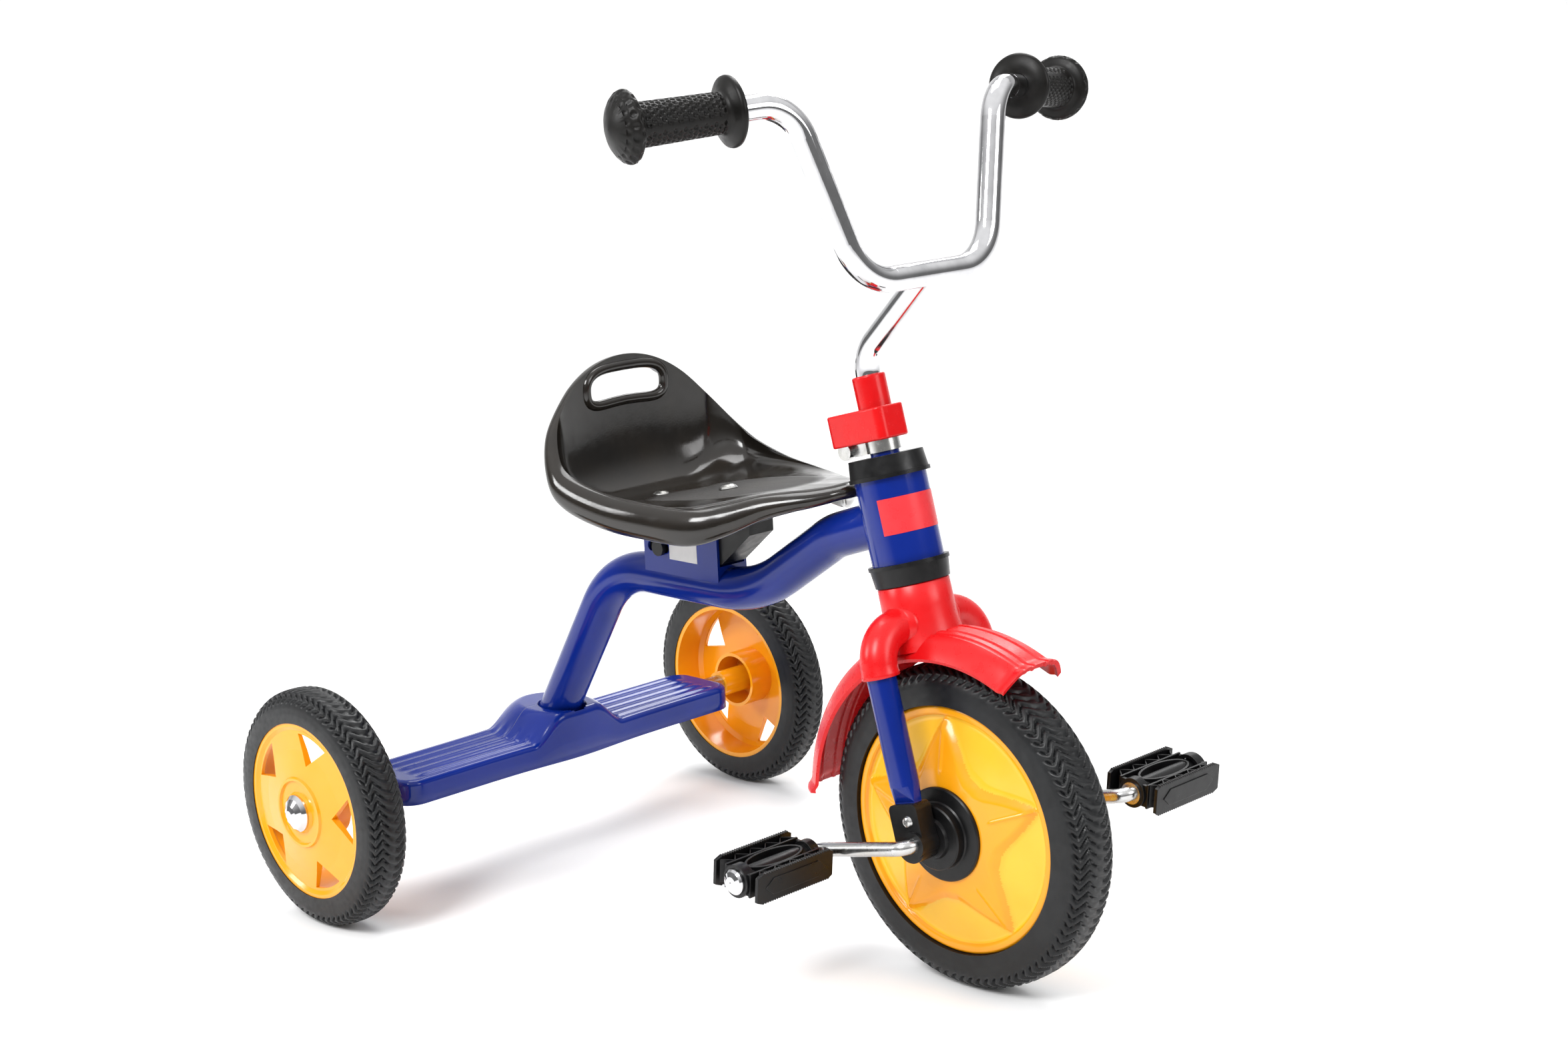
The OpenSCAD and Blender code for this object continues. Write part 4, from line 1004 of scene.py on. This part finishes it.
@dataclass
class Pedal:
    """A moulded pedal: two toothed treads, zigzag webs, an oval ring and end bosses; sizes in millimetres.

    Inner and outer are its ends along the axle. A panel's slant and a web's lean are along the axle too.
    """

    side: Side
    inner: float = 85.7
    outer: float = 163.7
    half_width: float = 23.5
    half_height: float = 12.2
    tread_wall: float = 3.0
    tread_end: float = 2.6
    tooth: float = 2.4
    tooth_cut: float = 1.1
    panel: tuple[float, float, float, float] = (8.0, 16.0, 6.5, 0.7)
    rail: float = 12.6
    rail_half: tuple[float, float, float] = (1.0, 2.0, 9.5)
    webs: int = 9
    web_half: float = 0.7
    web_reach: tuple[float, float] = (-8.5, 9.6)
    stay: tuple[float, float, float] = (7.5, 12.6, 8.5)
    rounding: float = 0.35
    tilt_deg: float = 6.0

    def tread(self) -> list[tuple[float, float]]:
        """Outlines a tread from the side, with teeth on its top and bottom edges.

        Returns:
            Points of the outline: place along the axle, and height.
        """
        teeth = []
        for i in range(int((self.outer - self.inner - 6) / self.tooth)):
            y = self.inner + 3 + i * self.tooth
            teeth += [(y, self.half_height - self.tooth_cut), (y + self.tooth * 0.35, self.half_height),
                      (y + self.tooth * 0.7, self.half_height)]
        end = self.half_height - self.tread_end
        edge = [(self.inner, end), *teeth, (self.outer, end)]
        return edge + [(y, -z) for y, z in reversed(edge)]

    def half(self, make: Builder, hand: int) -> None:
        """Adds the tread, panel, rail and webs ahead of the axle or behind it.

        Args:
            make: The builder that gets them.
            hand: 1 ahead of the axle, -1 behind it.
        """
        tread = hand * (self.half_width - self.tread_wall / 2)
        make.prism(self.tread(), "yzx", tread - self.tread_wall / 2, tread + self.tread_wall / 2)
        point, corner, height, thickness = self.panel
        line = [(self.inner + corner, height), (self.outer - corner, height)]
        panel = [(self.inner + point, 0), *line, (self.outer - point, 0)]
        panel += [(y, -z) for y, z in reversed(line)]
        face = sorted((hand * self.half_width, hand * (self.half_width + thickness)))
        make.prism(panel, "yzx", *face)
        wall, inset, reach = self.rail_half
        rail = hand * self.rail
        make.block((self.inner + inset, self.outer - inset), (-reach, reach), "yzx", rail - wall, rail + wall)
        length = (self.outer - self.inner - 8) / self.webs
        for i in range(self.webs):
            start = self.inner + 4 + length * i
            end = start + length
            a, b = (hand * (self.rail + 0.5), hand * (self.half_width - self.tread_wall + 0.5))
            if i % 2:
                a, b = b, a
            half = self.web_half
            make.prism([(a, start - half), (b, end - half), (b, end + half), (a, start + half)], "xyz",
                       *self.web_reach)

    def make(self) -> None:
        """Builds, dresses and ties the pedal."""
        name = "pedal_" + self.side.word
        make = Builder()
        for hand in (-1, 1):
            self.half(make, hand)
        make.ring((12.2, 28), 2.2, (0, (self.inner + self.outer) / 2), "xyz", -8.5, 9.2)
        for radius, wall, low, high in ((8.4, 2.8, self.inner + 3, self.outer - 3),
                                        (12.6, 3.0, self.outer - 9, self.outer),
                                        (11.5, 3.4, self.inner, self.inner + 8)):
            make.ring((radius, radius), wall, (0, 0), "xzy", low, high)
        near, far, height = self.stay
        for y in (self.inner + 2, self.outer - 5):
            for hand in (-1, 1):
                make.block((hand * near, hand * far), (-height, height), "xzy", y, y + 3)
        x, _, z = find_joint(name + "_spin")["pos_m"]
        place = Matrix.Translation((x, 0, z)) @ Matrix.Rotation(math.radians(self.tilt_deg), 4, "Y")
        place = place @ Matrix.Diagonal((1, self.side.value, 1, 1))
        piece = make.object(name + "_moulding", place, self.rounding)
        place_piece(piece, name, NYLON, [name])


# ------------------------------------------------------------------ mudguard


@dataclass
class Mudguard:
    """The moulded mudguard: ribbed strip with flared lips, collar and sleeves over the fork crown.

    Sizes are in millimetres. The skin gives the strip's height beside its radius, from the middle outwards.
    The collar and the sleeve lie in the steering axis's frame: height and radius of the collar, and height
    of the sleeve's foot and of the crown.
    """

    radius: float = 149.5
    wall: float = 2.5
    front_deg: float = 62.0
    rear_deg: float = 178.0
    spans: int = 96
    flare_length: float = 10.0
    flare_rise: float = 3.6
    flare_power: float = 1.5
    flare_spread: float = 0.05
    bead: float = 1.3
    bead_length: float = 4.0
    narrowing: float = 62.0
    skin: tuple[tuple[float, float], ...] = (
        (0, 0.4), (5.5, 0.4), (6.3, -0.8), (8.6, -0.9), (9.4, 0.2), (13.4, 0.0), (14.2, -1.1), (16.6, -1.8),
        (17.4, -1.4), (20, -3.0), (23, -5.8), (26, -9.4), (29, -13.8), (31, -17.2),
    )
    collar: tuple[tuple[float, float], ...] = (
        (264, 32), (270, 30.6), (276, 29.2), (284, 28.2), (296, 27.7), (312.4, 27.5), (313.2, 26.8),
        (313.2, 11.7),
    )
    collar_points: int = 96
    crown: float = 284.0
    crown_swell: float = 4.0
    sleeve_foot: float = 252.0
    half: float = 54.0
    bend: float = 26.0
    sleeve: float = 13.9
    bore: float = 11.3
    sleeve_points: int = 40

    def strip(self, points: list[Vector], faces: list[tuple[int, ...]]) -> None:
        """Adds the strip over the wheel, in the model's frame.

        Args:
            points: List that gets the points.
            faces: List that gets the faces.
        """
        axle = centre_of("front_tyre")
        line = [(-y, rise) for y, rise in reversed(self.skin[1:])] + list(self.skin)
        arc = self.rear_deg - self.front_deg
        start, count = len(points), 2 * len(line)
        for i in range(self.spans + 1):
            span = arc * (0.5 - 0.5 * math.cos(math.pi * i / self.spans))
            near = math.radians(min(span, arc - span)) * self.radius
            flare = 1 - smooth_step(0, self.flare_length, near)
            wall = self.wall + self.bead * (1 - smooth_step(0, self.bead_length, near))
            turn = math.radians(self.front_deg + span)
            ray = Vector((math.cos(turn), 0, math.sin(turn)))
            outer, inner = [], []
            for y, rise in line:
                side = y * (1 + self.flare_spread * flare)
                reach = self.radius + rise + self.flare_rise * flare**self.flare_power
                outer.append(axle + (ray * reach + Vector((0, side, 0))) * MM)
                side *= 1 - wall / self.narrowing
                inner.append(axle + (ray * (reach - wall) + Vector((0, side, 0))) * MM)
            points += outer + inner[::-1]
        faces += grid_faces(self.spans + 1, count, False, True, start)
        for base in (start, start + self.spans * count):
            faces += [(base + k, base + k + 1, base + count - 2 - k, base + count - 1 - k)
                      for k in range(len(line) - 1)]

    def turned(self, points: list[Vector], faces: list[tuple[int, ...]], place: Matrix) -> None:
        """Adds the collar round the steering axis.

        Args:
            points: List that gets the points.
            faces: List that gets the faces.
            place: Where the steering axis's frame lies.
        """
        start, around = len(points), self.collar_points
        for height, radius in self.collar:
            for i in range(around):
                a = 2 * math.pi * i / around
                points.append(place @ (Vector((radius * math.cos(a), radius * math.sin(a), height)) * MM))
        faces += grid_faces(len(self.collar), around, False, True, start)

    def sleeve_path(self) -> list[tuple[float, float, float, float]]:
        """Middle line of the sleeve, from one foot over the crown to the other.

        Returns:
            Place across, height, radius, and angle of the section's plane in radians, for each section.
        """
        mouth = ((5, self.bore), (0.2, self.bore), (0, 11.6), (0, self.sleeve), (0.6, self.sleeve + 0.5),
                 (3, self.sleeve + 0.4), (4, self.sleeve))
        half = [(self.half, self.sleeve_foot + up, radius, 0.0) for up, radius in mouth]
        inner = self.half - self.bend
        for i in range(1, 13):
            a = math.pi / 2 * i / 12
            half.append((inner + self.bend * math.cos(a), self.crown - self.bend + self.bend * math.sin(a),
                         self.sleeve, a))
        half += [(y, self.crown, self.sleeve + self.crown_swell * (1 - smooth_step(22, 30, y)), math.pi / 2)
                 for y in (27, 26, 25, 24, 23, 12)]
        return half + [(-y, z, radius, a) for y, z, radius, a in reversed(half)]

    def sleeves(self, points: list[Vector], faces: list[tuple[int, ...]], place: Matrix) -> None:
        """Adds the bent sleeve over the fork crown.

        Args:
            points: List that gets the points.
            faces: List that gets the faces.
            place: Where the steering axis's frame lies.
        """
        path = self.sleeve_path()
        start, around = len(points), self.sleeve_points
        for y, z, radius, angle in path:
            out = Vector((0, math.copysign(math.cos(angle), y), math.sin(angle)))
            for k in range(around):
                a = 2 * math.pi * k / around
                spot = Vector((0, y, z)) + (Vector((1, 0, 0)) * math.cos(a) + out * math.sin(a)) * radius
                points.append(place @ (spot * MM))
        faces += grid_faces(len(path), around, False, True, start)

    def make(self) -> None:
        """Builds, dresses and ties the mudguard."""
        points: list[Vector] = []
        faces: list[tuple[int, ...]] = []
        place = steering_place()
        self.strip(points, faces)
        self.turned(points, faces, place)
        self.sleeves(points, faces, place)
        piece = make_mesh("mudguard_moulding", points, faces, crease_deg=50)
        fill = bmesh.new()
        fill.from_mesh(piece.data)
        bmesh.ops.recalc_face_normals(fill, faces=fill.faces)
        fill.to_mesh(piece.data)
        fill.free()
        place_piece(piece, "fork", MUDGUARD_RED, ["mudguard"])


# ------------------------------------------------------------------ clamp cover


@dataclass
class ClampCover:
    """The soft-edged cap over the stem clamp, with its collar round the stem; sizes in millimetres.

    Heights are up the steering axis from the ground, and front and back are measured from it.
    """

    foot: float = 422.3
    top: float = 446.9
    collar_top: float = 471.4
    back: float = -41.0
    front: float = 17.0
    half_width: float = 15.5
    corner: float = 7.0
    corner_points: int = 9
    collar: float = 12.7
    collar_wall: float = 2.8
    rounding: float = 2.4

    def make(self) -> None:
        """Builds, dresses and ties the cover."""
        outline = []
        for n, (x_sign, y_sign) in enumerate(CORNER_SIGNS):
            x = (self.front if x_sign > 0 else self.back) - x_sign * self.corner
            y = y_sign * (self.half_width - self.corner)
            for i in range(self.corner_points):
                a = math.pi / 2 * (n + i / (self.corner_points - 1))
                outline.append((x + self.corner * math.cos(a), y + self.corner * math.sin(a)))
        make = Builder()
        make.prism(outline, "xyz", self.foot, self.top)
        make.ring((self.collar, self.collar), self.collar_wall, (0, 0), "xyz", self.top - 2, self.collar_top)
        piece = make.object("clamp_cover_moulding", steering_place(), self.rounding)
        place_piece(piece, "fork", COVER_RED, ["clamp_cover"])


# ------------------------------------------------------------------ seat


@dataclass
class Seat:
    """The blow-moulded bucket seat: dished pan, rolled rim, skirt and a rimmed handle slot.

    Sizes are in millimetres from the foot, which is a place in the model in metres. Each point of the rim
    gives its place forward, its place across, its height and the drop of the skirt there.
    """

    foot: tuple[float, float, float] = (-0.0915, 0.0, 0.338)
    middle_x: float = 60.0
    slope: float = 0.21
    sag: float = 0.00025
    bowl: float = 2.7
    back_bowl: float = 1.9
    back_heights: tuple[float, float] = (45.0, 105.0)
    lip: float = 7.0
    lip_swell: float = 3.2
    lip_spread: float = 4.0
    lip_points: int = 22
    wall: float = 3.0
    samples: int = 11
    slot_half_width: float = 40.0
    slot_half_height: float = 13.5
    slot_z: float = 89.0
    slot_bow: float = 5.0
    slot_reach: tuple[float, float] = (-90.0, 10.0)
    bead_gap: float = 2.5
    bead_half: tuple[float, float] = (4.4, 4.0)
    bead_points: int = 12
    rim: tuple[tuple[float, float, float, float], ...] = (
        (215, 0, 35.5, 12), (206, 11, 33, 12.5), (195, 22, 31, 14), (184, 31, 30, 16), (164, 46, 27, 20),
        (144, 66, 21, 25), (124, 82, 18, 28), (88, 91, 20, 28), (48, 97, 24, 28), (9, 100, 34, 28),
        (-9, 97, 47, 28), (-26, 82, 72, 22), (-33, 58, 96, 16), (-36.5, 30, 111, 12), (-37.5, 0, 116, 12),
    )
    steps: tuple[float, ...] = (
        *(0.08 * k for k in range(1, 9)), 0.69, 0.74, 0.79, 0.83, 0.87, 0.9, 0.93, 0.95, 0.965, 0.978, 0.987,
        0.993, 0.997, 0.999, 0.9998, 1,
    )
    loop: list[tuple[float, ...]] = field(default_factory=list)

    def spline(self) -> None:
        """Fills the loop with a smooth curve through the rim's points."""
        ring = list(self.rim) + [(x, -y, z, d) for x, y, z, d in reversed(self.rim[1:-1])]
        n = len(ring)
        for i in range(n):
            a, b, c, d = (ring[(i + k) % n] for k in (-1, 0, 1, 2))
            for k in range(self.samples):
                t = k / self.samples
                self.loop.append(tuple(
                    0.5 * (2 * q + (r - p) * t + (2 * p - 5 * q + 4 * r - s) * t * t
                           + (3 * q - p - 3 * r + s) * t**3)
                    for p, q, r, s in zip(a, b, c, d)))

    def pan(self, x: float) -> float:
        """Height of the pan's middle line."""
        return self.slope * x - self.sag * x * x

    def top(self, i: int, t: float) -> Vector:
        """Point of the top surface.

        Args:
            i: Number of the line from the middle to the rim.
            t: Share of the way along it.

        Returns:
            The point, in millimetres from the foot.
        """
        rx, ry, rz, _ = self.loop[i]
        x = self.middle_x + (rx - self.middle_x) * t
        power = self.bowl + self.back_bowl * smooth_step(*self.back_heights, rz)
        rise = 1 - (1 - t**power) ** (1 / power)
        return Vector((x, ry * t, self.pan(x) + (rz - self.pan(rx)) * rise))

    def line(self, i: int) -> list[Vector]:
        """Follows the seat from the middle of the pan over the rim and back under the pan.

        Args:
            i: Number of the line.

        Returns:
            Points along it, in millimetres from the foot.
        """
        rx, ry, rz, drop = self.loop[i]
        ahead, back = self.loop[(i + 1) % len(self.loop)], self.loop[i - 1]
        away = Vector((ahead[1] - back[1], back[0] - ahead[0], 0)).normalized()
        edge = Vector((rx, ry, rz))
        upper = [self.top(i, t) for t in self.steps]
        lip = []
        for k in range(1, self.lip_points + 1):
            a = math.pi * k / self.lip_points
            out = (self.lip + self.lip_swell) * math.sin(a) + self.lip_spread * (a / math.pi) ** 2
            lip.append(edge + away * out - Vector((0, 0, drop / 2 * (1 - math.cos(a)))))
        inside = [
            lip[-1] - away * 1.6 + Vector((0, 0, 0.6)),
            lip[-1] - away * self.wall + Vector((0, 0, 2.5)),
            edge + away * (self.lip - self.wall) - Vector((0, 0, 6.5)),
        ]
        under = []
        for t, spot in zip(reversed(self.steps), reversed(upper)):
            w = t**6
            under.append(spot + away * self.wall * w * 0.9 - Vector((0, 0, self.wall * (1 - 0.4 * w))))
        return upper + lip + inside + under

    def slot_outline(self, grow: float, count: int = 48) -> list[tuple[float, float]]:
        """Outline of the handle slot seen from the front.

        Args:
            grow: How much larger it is than the slot on all sides.
            count: Number of points.

        Returns:
            Place across and height of each point, in millimetres from the foot.
        """
        half_height = self.slot_half_height + grow
        half_width = self.slot_half_width + grow
        loop = []
        for i in range(count):
            a = 2 * math.pi * i / count
            x, z = math.cos(a), math.sin(a)
            y = math.copysign(abs(x) ** 0.45, x) * half_width
            rise = math.copysign(abs(z) ** 0.8, z) * half_height
            bow = self.slot_bow * (1 - (y / half_width) ** 2) * (1.0 if z < 0 else 0.35)
            loop.append((y, self.slot_z + rise + bow))
        return loop

    def shell(self, foot: Vector) -> bpy.types.Object:
        """Makes the seat before its slot is cut.

        Args:
            foot: Where the foot lies.

        Returns:
            The seat.
        """
        self.spline()
        lines = [self.line(i) for i in range(len(self.loop))]
        columns = len(lines[0])
        points = [foot + p * MM for row in lines for p in row]
        faces = grid_faces(len(lines), columns, True, False)
        crown = len(points)
        height = self.pan(self.middle_x)
        points += [foot + Vector((self.middle_x, 0, z)) * MM for z in (height, height - self.wall)]
        for i in range(len(lines)):
            j = (i + 1) % len(lines)
            faces.append((crown, i * columns, j * columns))
            faces.append((crown + 1, (j + 1) * columns - 1, (i + 1) * columns - 1))
        return make_mesh("seat_shell_moulding", points, faces, crease_deg=70)

    def slot_rim(self, surface: bpy.types.Mesh, foot: Vector) -> bpy.types.Object:
        """Makes the rolled rim round the slot.

        Args:
            surface: The seat's mesh before the slot is cut.
            foot: Where the foot lies.

        Returns:
            The rim.
        """
        faces = [tuple(face.vertices) for face in surface.polygons]
        tree = BVHTree.FromPolygons([v.co for v in surface.vertices], faces)
        centres = []
        for y, z in self.slot_outline(self.bead_gap, 96):
            start = foot + Vector((30, y, z)) * MM
            hit = tree.ray_cast(start, Vector((-1, 0, 0)))[0]
            centres.append(hit if hit else start)
        points = []
        for i, spot in enumerate(centres):
            way = (centres[(i + 1) % len(centres)] - centres[i - 1]).normalized()
            side = way.cross(Vector((1, 0, 0))).normalized()
            up = side.cross(way)
            for k in range(self.bead_points):
                a = 2 * math.pi * k / self.bead_points
                swell = side * self.bead_half[0] * math.cos(a) + up * self.bead_half[1] * math.sin(a)
                points.append(spot + (swell - Vector((1, 0, 0))) * MM)
        return make_mesh("seat_slot_rim", points, grid_faces(len(centres), self.bead_points, True, True))

    def make(self) -> None:
        """Builds, dresses and ties the seat."""
        foot = Vector(self.foot)
        shell = self.shell(foot)
        cutter = Builder()
        cutter.prism(self.slot_outline(0), "yzx", *self.slot_reach)
        tool = cutter.object("seat_slot_tool", Matrix.Translation(foot))
        cut = shell.modifiers.new("slot", "BOOLEAN")
        cut.operation, cut.solver, cut.object = "DIFFERENCE", "EXACT", tool
        cut.use_self = True
        bpy.context.view_layer.update()
        finished = bpy.data.meshes.new_from_object(shell.evaluated_get(bpy.context.evaluated_depsgraph_get()))
        shell.modifiers.clear()
        rim = self.slot_rim(shell.data, foot)
        shell.data = finished
        finished.shade_smooth()
        finished.set_sharp_from_angle(angle=math.radians(60))
        bpy.data.objects.remove(tool)
        place_piece(shell, "seat", SEAT_WITH_PAINTED_SHEEN, ["seat_shell"])
        place_piece(rim, "seat", SEAT_WITH_PAINTED_SHEEN)


# ------------------------------------------------------------------ light and camera


@dataclass
class Studio:
    """Pale floor, soft lights and the camera; places and lengths in metres.

    A lamp has its name, its place, its size and its power in watts.
    """

    camera_place: tuple[float, float, float] = (1.40795, -1.32043, 0.73506)
    camera_way: tuple[float, float, float] = (-0.70067, 0.68253, -0.20789)
    camera_roll_deg: float = -2.64
    lens_mm: float = 56.67
    sensor_mm: float = 36.0
    horizon: float = 0.2
    zenith: float = 1.1
    sky_rise: tuple[float, float] = (0.1, 0.8)
    aim: tuple[float, float, float] = (0.0, 0.0, 0.3)
    lamps: tuple[tuple[str, tuple[float, float, float], float, float], ...] = (
        ("key", (0.6, -2.2, 2.4), 1.0, 60), ("wall", (-1.2, 2.2, 2.6), 1.0, 30),
        ("side", (-1.6, -2.0, 1.3), 0.7, 22), ("fill", (2.6, 0.6, 1.6), 1.2, 22),
        ("top", (-0.6, 0.6, 2.8), 1.4, 30),
    )
    floor_half: float = 6.0
    floor_near: float = -4.0
    floor_far: float = 2.2
    floor_bend: float = 1.4
    floor_top: float = 5.0
    floor_gap: float = 0.5 * MM

    def floor(self) -> None:
        """Lays a pale floor that curves up behind the object."""
        line = [(self.floor_near, 0.0)]
        line += [(self.floor_far + self.floor_bend * math.sin(a), self.floor_bend * (1 - math.cos(a)))
                 for a in (math.pi / 2 * i / 16 for i in range(17))]
        line.append((self.floor_far + self.floor_bend, self.floor_top))
        way = Vector((self.camera_way[0], self.camera_way[1], 0)).normalized()
        side = Vector((-way.y, way.x, 0))
        points = [way * along + side * x + Vector((0, 0, height - self.floor_gap))
                  for along, height in line for x in (-self.floor_half, self.floor_half)]
        sheet = make_mesh("floor", points, grid_faces(len(line), 2, False, False), crease_deg=80)
        sheet.data.materials.append(PAPER.material())

    def lamp(self, name: str, place: tuple[float, float, float], size: float, power: float) -> None:
        """Hangs one square soft light that points at the object's middle.

        Args:
            name: Name of the light.
            place: Where it hangs.
            size: Length of its side.
            power: Its power, in watts.
        """
        light = bpy.data.lights.new(name, "AREA")
        light.size = size
        light.energy = power
        rig = bpy.data.objects.new(name, light)
        rig.location = place
        rig.rotation_euler = (Vector(self.aim) - Vector(place)).to_track_quat("-Z", "Y").to_euler()
        bpy.context.scene.collection.objects.link(rig)

    def lights(self) -> None:
        """Sets a sky that is bright overhead and dark at the horizon, and hangs the lamps."""
        world = bpy.data.worlds.new("studio")
        world.use_nodes = True
        tree = world.node_tree
        way = add_node(tree, "ShaderNodeTexCoord").outputs["Generated"]
        parts = add_node(tree, "ShaderNodeSeparateXYZ", in0=way)
        level = add_node(tree, "ShaderNodeMapRange", {
            "interpolation_type": "SMOOTHSTEP", "From Min": self.sky_rise[0], "From Max": self.sky_rise[1],
            "To Min": self.horizon, "To Max": self.zenith}, Value=parts.outputs["Z"])
        tree.links.new(level.outputs[0], tree.nodes["Background"].inputs[1])
        tree.nodes["Background"].inputs[0].default_value = (1, 1, 1, 1)
        bpy.context.scene.world = world
        for lamp in self.lamps:
            self.lamp(*lamp)
        bpy.context.scene.view_settings.view_transform = "Standard"

    def camera(self) -> None:
        """Places the camera."""
        data = bpy.data.cameras.new("camera")
        data.lens = self.lens_mm
        data.sensor_width = self.sensor_mm
        data.dof.use_dof = False
        eye = bpy.data.objects.new("camera", data)
        way = Vector(self.camera_way).normalized()
        right = way.cross(Vector((0, 0, 1))).normalized()
        up = right.cross(way)
        a = math.radians(self.camera_roll_deg)
        right, up = right * math.cos(a) + up * math.sin(a), up * math.cos(a) - right * math.sin(a)
        turned = Matrix((right, up, -way)).transposed().to_4x4()
        eye.matrix_world = Matrix.Translation(self.camera_place) @ turned
        bpy.context.scene.collection.objects.link(eye)
        bpy.context.scene.camera = eye

    def make(self) -> None:
        """Makes the floor, lights and camera."""
        self.floor()
        self.lights()
        self.camera()


def main() -> None:
    """Builds every piece in order."""
    dress_nodes()
    Tyre("front_tyre", "front_wheel", outer=125 * MM, seat=95.5 * MM, half_width=23 * MM, bars=92).make()
    for side in ("left", "right"):
        Tyre("rear_tyre_" + side, "rear_wheel_" + side, outer=100 * MM, seat=74 * MM, half_width=19 * MM,
             bars=76).make()
    for side in Side:
        FrontWheelFace(side).make()
    for side in Side:
        Grip(side).make()
    RearDeck().make()
    Seat().make()
    Mudguard().make()
    ClampCover().make()
    for side in Side:
        Pedal(side).make()
    Studio().make()


if __name__ == "__main__":
    logging.basicConfig(level=logging.INFO, format="%(message)s")
    main()
